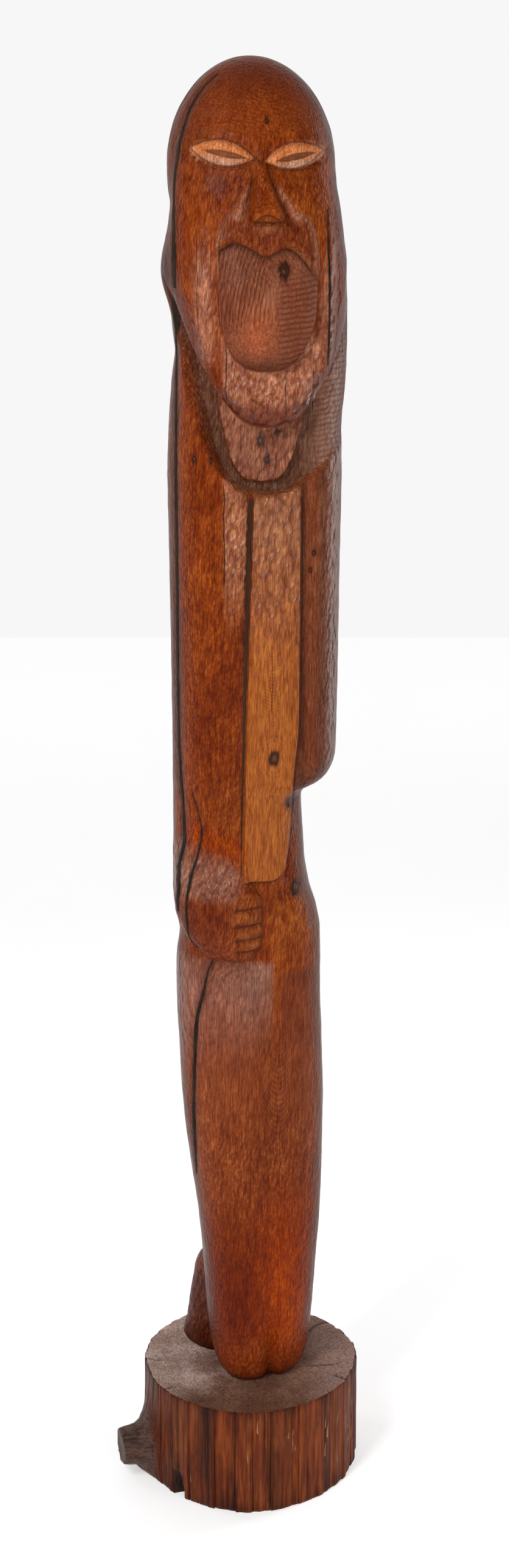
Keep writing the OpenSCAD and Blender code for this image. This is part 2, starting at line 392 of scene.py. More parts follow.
    # breast panel, left standing like a board, with the right arm falling back beside it
    below_neck = ease(1.5, -1.5, over_trough)
    corner = np.clip((x - 26) / 18, 0, 1) ** 2 * 14
    panel = ease(-1.4, 1.4, x - panel_left(h)) * ease(-1.6, 1.6, panel_right(h) - x)
    panel *= ease(-1.6, 1.6, h - 691 - corner) * below_neck * front
    cut += panel * curve([(690, 5), (760, 4), (820, 3.2), (1000, 1.5), (1170, 1)], h)
    zone["panel"] = panel
    arm_right = ease(-1.4, 1.4, x - panel_right(h)) * below_neck * ease(793, 797, h)
    cut -= arm_right * front * 4.5 * ease(100, 62, x)
    zone["arm_right"] = arm_right * front
    arm_left = ease(1.4, -1.4, x - panel_left(h) + 7) * below_neck * front * ease(690, 760, h)
    cut += arm_left * 3.5 * hump(-48, 52, x)
    zone["arm_left"] = arm_left
    zone["strip"] = ease(-32, -27, x) * arm_left * ease(980, 1100, h)

    # the waist beside the panel, under the folded arm
    waist = ease(-1.5, 1.5, x - panel_right(h)) * ease(797, 790, h) * ease(640, 700, h) * front
    cut -= waist * 4.0 * ease(66, 44, x)

    # left hand, closed, on the hip: it swells out of the forearm and ends in four finger rolls
    wrist = 752 - 0.55 * (x + 85)
    belly = curve([(582, 0), (588, 9), (600, 15), (625, 19), (660, 18), (690, 13), (720, 6), (752, 0)], h)
    middle_x, half_x = (fist_left(h) + fist_right(h)) / 2, (fist_right(h) - fist_left(h)) / 2
    fist_side = np.clip(1 - np.abs((x - middle_x) / half_x) ** 3.4, 0, 1) ** 0.5
    fist = ease(0, 0.35, fist_side) * ease(585, 589, h) * ease(752, 700, h) * front
    cut += belly * fist_side * front * ease(585, 588, h)
    fingers = ease(-24, -12, x) * fist * ease(700, 690, h)
    for groove in FINGER_GROOVES:
        cut -= fingers * 3.6 * ridge(groove, 2.6, h)
    zone["hand"] = fist
    zone["fingers"] = fingers
    zone["back_of_hand"] = fist * ease(wrist + 6, wrist - 6, h) * ease(655, 684, h) * ease(0, -25, x)

    # hollow under the hand, thighs and knees
    cut -= front * 5.0 * ridge(576, 13, h) * hump(-30, 62, x)
    cut += front * 3.0 * hump(-28, 46, x) * hump(300, 260, h)
    cut -= front * 2.0 * ridge(27, 10, x) * ease(330, 120, h)
    cut -= front * 9.0 * ridge(26, 8, x) * ease(110, 0, h)
    cut += front * 6.0 * ridge(-10, 26, x) * ease(160, 20, h)

    # feet behind the knees, toes down and heels up
    for middle, rise_scale in ((140, 1.08), (56, 0.8)):
        aside = (degrees - middle + 180) % 360 - 180
        across = (aside + 3 if middle > 90 else aside - 3) / blend(28, 20, ease(30, 140, h))
        foot = np.clip(1 - np.abs(across) ** 2.6, 0, 1) ** 0.6
        rise = curve([(-4, 60), (4, 60), (12, 55), (29, 47), (47, 40), (79, 33), (100, 28), (116, 24),
                      (130, 17), (143, 5), (152, 0)], h)
        x = x + np.cos(turn) * foot * rise * rise_scale
        y = y + np.sin(turn) * foot * rise * rise_scale
        zone["foot"] = np.maximum(zone.get("foot", 0), foot * ease(150, 90, h))
        toe = np.abs(np.sin(np.radians(aside) * 10.5))
        cut += foot * ease(28, 10, h) * (5.0 * toe - 4)
        cut -= foot * 2.0 * ridge(30 + 3 * toe, 4, h)

    # back of the figure: nape, shoulders, forearm and fist behind the waist, seat, legs
    back = ease(-0.1, 0.3, ny)
    behind = (degrees - 92 + 180) % 360 - 180
    cut -= back * 7 * ridge(1318, 20, h) * ease(95, 60, np.abs(behind))
    cut -= back * 3.5 * ridge(0, 7, behind) * ease(900, 960, h) * ease(1300, 1240, h)
    lean = 835 + 0.85 * np.clip(degrees - 15, 0, 110)
    forearm = ease(46, 40, np.abs(h - lean)) * ease(118, 108, degrees) * ease(14, 50, degrees)
    cut += forearm * 16 * np.sqrt(np.clip(1 - ((h - lean) / 48) ** 2, 0, 1))
    knuckle = np.hypot((degrees - 118) / 21, (h - 915) / 42)
    fist_back = ease(1.0, 0.93, knuckle) * (degrees < 180)
    cut += fist_back * 19 * np.sqrt(np.clip(1 - knuckle**2.4, 0, 1))
    for groove in (896, 913, 930):
        cut -= fist_back * 2.5 * ridge(groove, 2.6, h) * ease(112, 120, degrees)
    zone["forearm"] = np.maximum(forearm, fist_back)
    for side_turn in (62, 122):
        cut += back * 12 * hump(side_turn, 38, degrees) * hump(565, 110, h)
    cut -= back * 7 * ridge(0, 6, behind) * ease(640, 600, h) * ease(-20, 60, h)
    cut -= back * 6 * ridge(455, 16, h)
    zone["back_line"] = back * np.clip(
        ridge(1318, 14, h) * ease(95, 60, np.abs(behind))
        + ridge(0, 4, behind) * ease(900, 960, h) * ease(1300, 1240, h)
        + ridge(0, 4, behind) * ease(640, 600, h) * ease(-20, 60, h) + ridge(455, 12, h)
        + ridge(lean - 46, 8, h) * ease(112, 100, degrees) * ease(14, 50, degrees), 0, 1)

    # the left shoulder swells out behind the side check
    flank = ease(150, 176, degrees) * ease(226, 202, degrees)
    cut += flank * (9 * hump(1418, 60, h) - 3.5 * ridge(1322, 20, h) - 2.5 * ridge(1492, 16, h))
    zone["shoulder"] = flank * hump(1415, 70, h)

    for check in CHECKS.values():
        low, high = check["span"]
        track = ridge(check["line"](h), check["wide"] * 0.7, x) * ease(low - 4, low + 4, h)
        fade = ease(760, 1000, h) if high == STRIP_END else 1.0
        cut -= 1.4 * track * ease(high + 4, high - 4, h) * (ny < 0.25) * fade
    cut *= ease(0.0, 0.35, shrink)
    if chips:
        along = turn % (2 * math.pi) * ROUND_THE_LOG / (2 * math.pi)
        slant = along + 0.35 * (h - 900) * zone["panel"]
        bold = np.clip(zone["panel"] * blend(0.25, 0.9, ease(940, 1060, h)) + zone["strip"]
                       + zone["back_of_hand"] + 0.8 * zone["patch"]
                       + 0.7 * zone["arm_right"] * ease(88, 100, x) + 0.8 * face * ease(1300, 1265, h)
                       + 0.6 * zone["scoop"] + 0.5 * back, 0, 1)
        smooth = np.clip(zone["lid"] + zone["slit"] + zone["nose"] + ridge(0, 7, over_trough), 0, 1)
        coarse = dishes(along, h, 15.0, 24.0, ROUND_THE_LOG, 11)
        fine = dishes(slant % ROUND_THE_LOG, h, 7.5, 12.0, ROUND_THE_LOG, 23)
        cut += (coarse - 1) * blend(0.5, 0.9, bold) * (1 - smooth) * shrink
        cut += (fine - 1) * blend(0.15, 0.75, bold) * (1 - smooth) * shrink
        zone["bold"] = bold
    x = x + nx * cut
    y = y + ny * cut
    return x * MM, y * MM, (h + STUMP_TOP) * MM, zone


# %% [markdown]
# ## The mesh of the log
#
# The mesh is a net of rings and columns. Both are set closer where the carving is finest:
# columns crowd towards the front, and rings crowd on the face, the fist and the feet. A single
# net keeps the log one closed skin.

# %% Net of rings and columns
COLUMNS = 236
RINGS = 372
DOME_RINGS = 38
FRONT_CROWD = 0.42


def ring_heights():
    h = np.linspace(-3, DOME_BASE, 4000)
    crowd = (0.42 + 0.75 * ease(570, 585, h) * ease(720, 690, h) + 0.25 * ease(160, 60, h)
             + 1.1 * ease(1150, 1170, h) + 0.5 * ridge(797, 12, h) + 0.5 * ridge(1300, 60, h))
    total = np.concatenate([[0], np.cumsum((crowd[1:] + crowd[:-1]) / 2)])
    even = np.linspace(0, total[-1], RINGS)
    lower = np.interp(even, total, h)
    arc = np.linspace(0, math.pi / 2, DOME_RINGS + 1)[1:-1]
    return np.concatenate([lower, DOME_BASE + DOME_TALL * np.sin(arc)])


share = np.arange(COLUMNS) / COLUMNS
crowding = FRONT_CROWD / (2 * math.pi) * np.sin(2 * math.pi * share)
column_turn = 1.5 * math.pi + 2 * math.pi * (share - crowding)
ring_h = ring_heights()
print(len(ring_h), "rings by", COLUMNS, "columns")

# %% Build the figure
def soft_carve(turn, h):
    """Averages the carving over the patch of surface that each point of the net stands for."""
    turn_step, h_step = np.gradient(turn, axis=1), np.gradient(h, axis=0)
    parts = [carve(turn + a * turn_step, h + b * h_step) for a in (-0.3, 0.3) for b in (-0.3, 0.3)]
    place = [sum(part[k] for part in parts) / 4 for k in range(3)]
    masks = {name: sum(part[3][name] for part in parts) / 4 for name in parts[0][3]}
    return (*place, masks)


def net_faces(rings, columns):
    ring = np.arange(rings - 1)[:, None] * columns
    here = np.arange(columns)[None, :]
    after = (here + 1) % columns
    quads = np.stack([ring + here, ring + after, ring + columns + after, ring + columns + here], axis=-1)
    return quads.reshape(-1, 4).tolist()


def make_piece(name, points, faces, smooth=True):
    mesh = bpy.data.meshes.new(name)
    mesh.from_pydata([tuple(p) for p in points], [], faces)
    mesh.validate()
    mesh.polygons.foreach_set("use_smooth", [smooth] * len(mesh.polygons))
    mesh.update()
    piece = bpy.data.objects.new(name, mesh)
    bpy.context.scene.collection.objects.link(piece)
    return piece


turn_grid, h_grid = np.meshgrid(column_turn, ring_h)
gx, gy, gz, zone = soft_carve(turn_grid, h_grid)
points = np.stack([gx, gy, gz], axis=-1).reshape(-1, 3)
faces = net_faces(len(ring_h), COLUMNS)
last = (len(ring_h) - 1) * COLUMNS
crown = len(points)
points = np.vstack([points, [[0.0, 0.0, (FIGURE_TOP + STUMP_TOP) * MM]], [[0.005, 0.0, gz[0, 0]]]])
faces += [[last + i, last + (i + 1) % COLUMNS, crown] for i in range(COLUMNS)]
faces += [[(i + 1) % COLUMNS, i, crown + 1] for i in range(COLUMNS)]
figure = make_piece("carved_log_figure", points, faces)
print("figure:", len(figure.data.vertices), "points,", len(figure.data.polygons), "faces")

# %% [markdown]
# ## Packed checks
#
# The filler is a long strip that sits in its check, a little proud where it has been rubbed
# down with the surface. It is lofted along the line of the check, so it follows every dip of
# the carving, and its width wanders and tapers as a real split does.

# %% Strips that fill the checks
FLAT_SECTION = [(-0.5, -3.0), (-0.5, 0.35), (-0.22, 0.75), (0.22, 0.7), (0.5, 0.3), (0.5, -3.0)]


def turn_at(line, heights):
    """Angle of the front surface at which it lies a given distance across."""
    turns = np.linspace(1.0 * math.pi, 2.0 * math.pi, 500)
    grid, level = np.meshgrid(turns, heights)
    across = carve(grid, level, chips=False)[0] / MM
    wanted = line(heights)
    return np.array([np.interp(w, row, turns) for w, row in zip(wanted, across)])


def packed_strip(name, node, wander, seed):
    check = CHECKS[node]
    low, high = check["span"]
    heights = np.linspace(low, high, int((high - low) / 3))
    turns = turn_at(check["line"], heights)
    rng = np.random.default_rng(seed)
    phase = rng.uniform(0, 2 * math.pi, 3)
    wave = sum(np.sin(heights / pitch + p) for pitch, p in zip((9.0, 23.0, 61.0), phase)) / 3
    run_in, run_out = (380, 12) if node == "chest_spline" else (45, 90)
    taper = np.clip(np.minimum((heights - low) / run_in, (high - heights) / run_out), 0.0, 1.0) ** 0.8
    width = check["wide"] * (1 + wander * wave) * blend(0.14, 1.0, taper)
    centre = np.array(trunk(turns, heights)[:2])
    radius = np.hypot(*centre)
    rows = []
    for side, proud in FLAT_SECTION:
        swing = turns + side * width / radius
        sx, sy, sz, _ = carve(swing, heights)
        _, _, nx, ny, _ = trunk(swing, heights)
        rows.append(np.stack([sx + nx * proud * MM, sy + ny * proud * MM, sz], axis=-1))
    loops = np.stack(rows, axis=1)
    count = len(FLAT_SECTION)
    faces = [tuple(reversed(face)) for face in net_faces(len(heights), count)]
    faces.append(tuple(range(count)))
    faces.append(tuple(reversed(range((len(heights) - 1) * count, len(heights) * count))))
    piece = make_piece(name, loops.reshape(-1, 3), faces)
    print(name, "runs", round(high - low), "mm")
    return piece


strips = [
    packed_strip("side_check_packing", "side_check_filler", 0.22, 3),
    packed_strip("hip_check_packing", "hip_check_filler", 0.3, 4),
    packed_strip("thigh_check_packing", "thigh_check_filler", 0.25, 5),
    packed_strip("cheek_check_packing", "cheek_check_filler", 0.35, 6),
    packed_strip("chest_strip", "chest_spline", 0.06, 7),
]

# %% [markdown]
# ## The stump
#
# The figure stands on a slice of a thicker log with its bark gone. Weather has split the
# outside into upright strips, so the columns of its net are placed strip by strip: two close
# columns at each border give a crisp step. The stub of a branch swells out at the lower left.

# %% Measures of the stump
STUMP_RADIUS = 142.0
STUB_TURN = 197.0
STUB_Z = 40.0
ROT_TURN = 229.0
SPLITS = {236.0: 3.5, 262.5: 3.0, 281.0: 3.5, 297.0: 4.0, 318.0: 7.0, 12.0: 4.0, 75.0: 5.0, 140.0: 4.0}
TOP_CHECKS = {38.0: (0.55, 1.0), 346.0: (0.58, 0.86), 181.0: (0.84, 1.0), 332.0: (0.86, 1.0),
              96.0: (0.6, 1.0), 215.0: (0.9, 1.0)}


def strip_columns(seed):
    """Angles, height offsets and groove depths of the columns, strip by strip."""
    rng = np.random.default_rng(seed)
    turns, offsets, grooves = [], [], []
    place = 0.0
    while place < 359.0:
        in_stub = 180 < place < 214
        width = min(rng.uniform(2.6, 8.2) * (0.8 if in_stub else 1.0), 360.0 - place)
        for split in SPLITS:
            if place < split < place + width:
                width = max(split - place, 1.2)
        offset = 0.0 if in_stub else rng.normal(0, 0.75)
        deep = 0.25 if in_stub else rng.uniform(0.3, 1.3)
        for split, depth in SPLITS.items():
            if abs(split - place) < 0.6:
                deep = depth
        turns.append(place)
        offsets.append(offset)
        grooves.append(deep)
        edge = 0.22
        inner = max(2, int(round((width - 2 * edge) / 0.95)))
        for step in np.linspace(place + edge, place + width - edge, inner):
            turns.append(step)
            offsets.append(offset + rng.normal(0, 0.16))
            grooves.append(0.0)
        place += width
    return np.radians(turns), np.array(offsets), np.array(grooves)


def stump_side(turn, z, offset, groove):
    degrees = np.degrees(turn) % 360
    radius = STUMP_RADIUS * (1 + 0.012 * np.sin(3 * turn + 0.7) + 0.006 * np.sin(7 * turn))
    radius = radius + offset * blend(0.6, 1.2, ease(140, 10, z)) - groove * blend(0.7, 1.0, ease(140, 60, z))
    radius = radius + 0.5 * soft_noise(degrees * 2.5, z * 0.12, 0 * z, 9.0, 31) - 0.6
    # the branch stub, with a ridge of trunk wood running down into it
    arc = (degrees - STUB_TURN) * STUMP_RADIUS * math.pi / 180
    far = np.hypot(arc, z - STUB_Z)
    ridge_up = curve([(0, 8), (14, 24), (40, 34), (58, 30), (68, 19), (80, 10.5), (100, 4),
                      (125, 1), (146, 0)], z)
    flare = ridge_up * ridge(0, 27, arc)
    cut_end = 41 * ease(30, 21, far)
    radius = radius + np.maximum(flare, cut_end - 1.2 * ridge(0, 9, far))
    radius = radius - 1.4 * ridge(31, 3.5, far) * ease(20, 60, z + 20)
    # a rotten knot at the foot
    rot_arc = (degrees - ROT_TURN) * STUMP_RADIUS * math.pi / 180
    pit = np.hypot((rot_arc + 0.12 * z) / 10, (z - 12) / 26)
    radius = radius - 13 * ease(1.15, 0.35, pit) * (1 + 0.25 * soft_noise(rot_arc, z, 0 * z, 9.0, 8))
    return radius, far, pit, flare


# %% Build the stump
column, offset, groove = strip_columns(19)
side_z = np.concatenate([[0.0, 0.8], np.linspace(2.0, STUMP_TOP - 3.2, 74),
                         [STUMP_TOP - 2.2, STUMP_TOP - 1.2]])
turn2, z2 = np.meshgrid(column, side_z)
radius, far, pit, flare = stump_side(turn2, z2, offset[None, :], groove[None, :])
TORN_GROUP = 6
rng = np.random.default_rng(41)
broken = np.repeat(rng.uniform(0.0, 1.0, len(column) // TORN_GROUP + 1), TORN_GROUP)[:len(column)]
rim_wear = np.array([ease(STUMP_TOP - 3.5, STUMP_TOP, z) for z in side_z])[:, None]
rim_in = rim_wear * (0.7 + 1.6 * broken[None, :] ** 2)
foot_in = ease(3.0, 0.0, side_z)[:, None] * 1.5
radius = radius - rim_in - foot_in
side = np.stack([radius * np.cos(turn2), radius * np.sin(turn2), z2], axis=-1)

inward = np.concatenate([[0.992, 0.98, 0.962], np.linspace(0.94, 0.04, 40)])
top_turn, top_k = np.meshgrid(column, inward)
rim_radius = radius[-1][None, :]
top_r = top_k * rim_radius
tx, ty = top_r * np.cos(top_turn), top_r * np.sin(top_turn)
level = STUMP_TOP - 0.15 - 1.3 * ease(1.0, 0.8, top_k) * ease(0.2, 0.6, top_k)
level = level - 0.8 * broken[None, :] ** 2 * ease(0.95, 1.0, top_k)
level = level + 0.5 * soft_noise(tx, ty, 0 * tx, 70.0, 12)
level = level - 0.45 * (1 - dishes(top_r * 0 + top_turn % (2 * math.pi) * 100, top_r, 9.0, 11.0, 628.0, 77))
crack = np.zeros_like(level)
for check_turn, (inner, outer) in TOP_CHECKS.items():
    miss = (np.degrees(top_turn) - check_turn - 4 * np.sin(top_k * 9) + 180) % 360 - 180
    arc = miss * math.pi / 180 * top_r
    crack = np.maximum(crack, ridge(0, 1.3, arc) * ease(inner - 0.03, inner + 0.05, top_k) * (top_k <= outer))
level = level - 2.6 * crack
top = np.stack([tx, ty, level], axis=-1)

count = len(column)
rings = np.concatenate([side, top])
stump_points = rings.reshape(-1, 3) * MM
stump_faces = net_faces(len(rings), count)
last = (len(rings) - 1) * count
stump_points = np.vstack([stump_points, [[0, 0, (STUMP_TOP - 1.0) * MM]]])
stump_faces += [[last + i, last + (i + 1) % count, len(stump_points) - 1] for i in range(count)]
stump_faces.append(list(reversed(range(count))))
stump = make_piece("log_slice_stump", stump_points, stump_faces)
stump.data.polygons[len(stump.data.polygons) - 1].use_smooth = False
print("stump:", len(stump.data.vertices), "points,", count, "columns")


def paint(piece, name, values):
    """Stores one value or colour for each point of a piece."""
    values = np.asarray(values, float)
    if values.ndim == 1:
        layer = piece.data.attributes.new(name, "FLOAT", "POINT")
        layer.data.foreach_set("value", values.ravel())
    else:
        layer = piece.data.attributes.new(name, "FLOAT_COLOR", "POINT")
        full = np.ones((len(values), 4))
        full[:, :3] = values
        layer.data.foreach_set("color", full.ravel())


on_top = np.concatenate([np.zeros(side.shape[:2]), np.ones(top.shape[:2])]).ravel()
on_stub = np.maximum(ease(36, 24, far), ease(2.5, 9, flare))
stub_mask = np.concatenate([on_stub, np.zeros(top.shape[:2])]).ravel()
rot_mask = np.concatenate([ease(1.3, 0.5, pit), crack]).ravel()
tail = [0.0]
paint(stump, "top_share", np.concatenate([on_top, [1.0]]))
paint(stump, "stub_share", np.concatenate([stub_mask, tail]))
paint(stump, "dark_share", np.concatenate([rot_mask, tail]))

# %% Holes for the fixings, cut up from below
SCREWS = [(-14, -38), (44, -20), (0, 44)]
COUNTERBORE = (14.0, 22.0)
CLEARANCE = (4.5, 128.0)


def ring_of(radius, z, middle, count=40):
    turns = 2 * math.pi * np.arange(count) / count
    return [(middle[0] + radius * math.cos(t), middle[1] + radius * math.sin(t), z) for t in turns]


cutter_points, cutter_faces = [], []
for middle in SCREWS:
    start = len(cutter_points)
    levels = [(COUNTERBORE[0], -2), (COUNTERBORE[0], COUNTERBORE[1]), (CLEARANCE[0], COUNTERBORE[1]),
              (CLEARANCE[0], CLEARANCE[1])]
    for r, z in levels:
        cutter_points += ring_of(r, z, middle)
    cutter_faces += [[start + v for v in f] for f in net_faces(len(levels), 40)]
    cutter_faces.append([start + v for v in reversed(range(40))])
    cutter_faces.append([start + 3 * 40 + v for v in range(40)])
cutter = make_piece("screw_hole_cutter", np.array(cutter_points) * MM, cutter_faces, smooth=False)
cut_holes = stump.modifiers.new("screw_holes", "BOOLEAN")
cut_holes.operation = "DIFFERENCE"
cut_holes.object = cutter
cut_holes.solver = "EXACT"
ready = stump.evaluated_get(bpy.context.evaluated_depsgraph_get())
bored = bpy.data.meshes.new_from_object(ready)
stump.modifiers.remove(cut_holes)
stump.data = bored
bpy.data.objects.remove(cutter)
print("stump after boring:", len(stump.data.polygons), "faces")

# %% [markdown]
# ## Parts that repeat
#
# Three coach screws with washers hold the stump up against the figure, and the stump's side has
# dozens of torn slivers. Each is modelled once and set in place by one small node tree, which
# turns every copy by its own amount. The result is turned into a plain mesh.

# %% Node tree that sets copies in place
def copies_tree():
    tree = bpy.data.node_groups.new("set_copies_in_place", "GeometryNodeTree")
    face = tree.interface
    face.new_socket("Geometry", in_out="INPUT", socket_type="NodeSocketGeometry")
    wanted = {"Shape": "Object", "Finish": "Material", "Smallest": "Float", "Largest": "Float",
              "Turn": "Float", "Seed": "Int"}
    keys = {name: face.new_socket(name, in_out="INPUT", socket_type="NodeSocket" + kind).identifier
            for name, kind in wanted.items()}
    face.new_socket("Geometry", in_out="OUTPUT", socket_type="NodeSocketGeometry")
    add, link = tree.nodes.new, tree.links.new
    given, result = add("NodeGroupInput"), add("NodeGroupOutput")
    shape, place = add("GeometryNodeObjectInfo"), add("GeometryNodeInstanceOnPoints")
    facing = add("GeometryNodeInputNamedAttribute")
    turn, size = add("FunctionNodeRandomValue"), add("FunctionNodeRandomValue")
    facing.data_type = "FLOAT"
    facing.inputs["Name"].default_value = "facing"
    total, angles = add("ShaderNodeMath"), add("ShaderNodeCombineXYZ")
    solid, coat = add("GeometryNodeRealizeInstances"), add("GeometryNodeSetMaterial")
    link(given.outputs["Shape"], shape.inputs["Object"])
    link(given.outputs["Geometry"], place.inputs["Points"])
    link(shape.outputs["Geometry"], place.inputs["Instance"])
    for node, low, high in ((turn, None, "Turn"), (size, "Smallest", "Largest")):
        if low:
            link(given.outputs[low], node.inputs[2])
        else:
            node.inputs[2].default_value = 0.0
        link(given.outputs[high], node.inputs[3])
        link(given.outputs["Seed"], node.inputs["Seed"])
    link(facing.outputs["Attribute"], total.inputs[0])
    link(turn.outputs[1], total.inputs[1])
    link(total.outputs[0], angles.inputs["Z"])
    link(angles.outputs[0], place.inputs["Rotation"])
    link(size.outputs[1], place.inputs["Scale"])
    link(place.outputs[0], solid.inputs[0])
    link(solid.outputs[0], coat.inputs[0])
    link(given.outputs["Finish"], coat.inputs["Material"])
    link(coat.outputs[0], result.inputs[0])
    return tree, keys


COPIES, COPY_KEYS = copies_tree()


def set_copies(name, shape, places, facing, finish, turn=0.0, sizes=(1.0, 1.0), seed=5):
    holder = make_piece(name, np.array(places), [])
    layer = holder.data.attributes.new("facing", "FLOAT", "POINT")
    layer.data.foreach_set("value", np.array(facing, float))
    modifier = holder.modifiers.new("copies", "NODES")
    modifier.node_group = COPIES
    values = {"Shape": shape, "Finish": finish, "Smallest": sizes[0], "Largest": sizes[1],
              "Turn": turn, "Seed": seed}
    for key, value in values.items():
        modifier[COPY_KEYS[key]] = value
    holder.update_tag()
    ready = holder.evaluated_get(bpy.context.evaluated_depsgraph_get())
    plain = bpy.data.meshes.new_from_object(ready)
    holder.modifiers.remove(modifier)
    holder.data = plain
    bpy.data.objects.remove(shape)
    print(name, "has", len(places), "copies and", len(plain.polygons), "faces")
    return holder


# %% One coach screw, one washer and one sliver
HEAD_TALL, HEAD_RADIUS, SHANK_RADIUS = 6.0, 7.5, 4.0
SCREW_LONG = 185.5
THREAD_START, THREAD_PITCH, THREAD_DEEP = 112.0, 3.2, 1.0
SEAT_Z = 19.5


def coach_screw():
    sides = 24
    turns = 2 * math.pi * np.arange(sides) / sides
    off_flat = (turns + math.pi / 6) % (math.pi / 3) - math.pi / 6
    hexagon = HEAD_RADIUS * math.cos(math.pi / 6) / np.cos(off_flat)
    rows = [(-HEAD_TALL, hexagon * 0.86), (-HEAD_TALL + 0.6, hexagon * 0.985), (-HEAD_TALL + 1.0, hexagon),
            (-0.5, hexagon), (0.0, hexagon * 0.97), (0.0, np.full(sides, SHANK_RADIUS))]
    for z in np.arange(2.0, THREAD_START, 11.0):
        rows.append((z, np.full(sides, SHANK_RADIUS)))
    for z in np.arange(THREAD_START, SCREW_LONG - 0.2, 0.45):
        crest = np.abs(((z / THREAD_PITCH - turns / (2 * math.pi)) % 1) * 2 - 1) ** 2
        tip = np.clip((SCREW_LONG - z) / 9.0, 0.12, 1.0)
        deep = THREAD_DEEP * ease(THREAD_START, THREAD_START + 6, z) * (1 - crest)
        rows.append((z, (SHANK_RADIUS - deep) * tip))
    points = [(r * math.cos(t), r * math.sin(t), z) for z, radii in rows for t, r in zip(turns, radii)]
    faces = net_faces(len(rows), sides)
    faces.append(list(reversed(range(sides))))
    faces.append([(len(rows) - 1) * sides + k for k in range(sides)])
    return make_piece("screw_shape", np.array(points) * MM, faces)


def washer_shape():
    outline = [(4.25, 0.2), (4.45, 0.0), (11.7, 0.0), (12.0, 0.3), (12.0, 2.2), (11.7, 2.5),
               (4.45, 2.5), (4.25, 2.3)]
    sides = 48
    points = [p for r, z in outline for p in ring_of(r, z, (0, 0), sides)]
    faces = net_faces(len(outline), sides)
    last = (len(outline) - 1) * sides
    faces += [[last + k, last + (k + 1) % sides, (k + 1) % sides, k] for k in range(sides)]
    return make_piece("washer_shape", np.array(points) * MM, faces, smooth=False)


def sliver_shape():
    """A torn strip of wood: thin, pointed at the top, bent a little outwards."""
    rows = [(-1.0, 1.3, 0.9, -0.5), (4.0, 1.2, 1.0, 0.1), (12.0, 0.9, 0.8, 0.35),
            (20.0, 0.45, 0.5, 0.8), (24.0, 0.12, 0.2, 1.2)]
    points = []
    for z, wide, thick, out in rows:
        points += [(out - thick, -wide, z), (out, -wide, z), (out, wide, z), (out - thick, wide, z)]
    faces = net_faces(len(rows), 4)
    faces.append([3, 2, 1, 0])
    faces.append([16, 17, 18, 19])
    return make_piece("sliver_shape", np.array(points) * MM, faces, smooth=False)


screw_places = [(x * MM, y * MM, SEAT_Z * MM) for x, y in SCREWS]
rng = np.random.default_rng(29)
sliver_turns = np.concatenate([rng.uniform(0, 2 * math.pi, 46), rng.uniform(4.9, 6.1, 22)])
sliver_turns = sliver_turns[np.abs(np.degrees(sliver_turns) - STUB_TURN) > 24]
sliver_z = rng.uniform(2, STUMP_TOP - 30, len(sliver_turns))
spare_column = np.zeros_like(sliver_turns)
sliver_r = stump_side(sliver_turns, sliver_z, spare_column, spare_column)[0] - 0.2
sliver_places = np.stack([sliver_r * np.cos(sliver_turns), sliver_r * np.sin(sliver_turns),
                          sliver_z], axis=-1) * MM

# %% [markdown]
# ## Writing materials as code
#
# A node material is a small program. `wire` adds a node and gives back one of its outputs, and
# such outputs can be added and multiplied like numbers, so a pattern reads as a formula. Every
# helper works on the tree that was started last. All patterns read object coordinates in metres,
# so a scale of 100 gives ten-millimetre features, and nothing slides when the piece is seen
# from another side.

# %% Helpers for materials
class Wire:
    """One output in a node tree. Wires add, subtract, multiply and divide like numbers."""

    def __init__(self, socket):
        self.socket = socket

    def __add__(self, other):
        return calc("ADD", self, other)

    def __sub__(self, other):
        return calc("SUBTRACT", self, other)

    def __rsub__(self, other):
        return calc("SUBTRACT", other, self)

    def __mul__(self, other):
        return calc("MULTIPLY", self, other)

    def __truediv__(self, other):
        return calc("DIVIDE", self, other)

    def __pow__(self, other):
        return calc("POWER", self, other)

    def __abs__(self):
        return calc("ABSOLUTE", self)


def new_material(name):
    """Starts a material. The helpers add their nodes to the tree that was started last."""
    global tree
    material = bpy.data.materials.new(name)
    material.use_nodes = True
    tree = material.node_tree
    return material, tree.nodes["Principled BSDF"]


def feed(node, inputs):
    """Links wires to a node's inputs, and sets plain values on them."""
    for key, value in inputs.items():
        if isinstance(value, Wire):
            tree.links.new(value.socket, node.inputs[key])
        else:
            node.inputs[key].default_value = value


def step(kind, inputs=None, **settings):
    made = tree.nodes.new(kind)
    for key, value in settings.items():
        setattr(made, key, value)
    feed(made, inputs or {})
    return made


def wire(kind, inputs=None, out=0, **settings):
    return Wire(step(kind, inputs, **settings).outputs[out])


def calc(operation, first, second=0.0, third=0.0):
    return wire("ShaderNodeMath", {0: first, 1: second, 2: third}, operation=operation)


def vector(operation, first, second=(0, 0, 0)):
    out = "Value" if operation in ("LENGTH", "DOT_PRODUCT") else 0
    return wire("ShaderNodeVectorMath", {0: first, 1: second}, out, operation=operation)


def axes(value):
    made = step("ShaderNodeSeparateXYZ", {0: value})
    return {name: Wire(made.outputs[name]) for name in "XYZ"}


def object_space():
    return wire("ShaderNodeTexCoord", out="Object")


def span(value, low, high, start=0.0, end=1.0, way="SMOOTHSTEP"):
    limits = {"Value": value, "From Min": low, "From Max": high, "To Min": start, "To Max": end}
    return wire("ShaderNodeMapRange", limits, "Result", interpolation_type=way)


def mix(share, first, second, way="MIX"):
    colours = {6: first, 7: second}
    inputs = {key: value if isinstance(value, Wire) else (*value, 1.0) for key, value in colours.items()}
    return wire("ShaderNodeMix", {"Factor": share, **inputs}, 2, data_type="RGBA", blend_type=way)


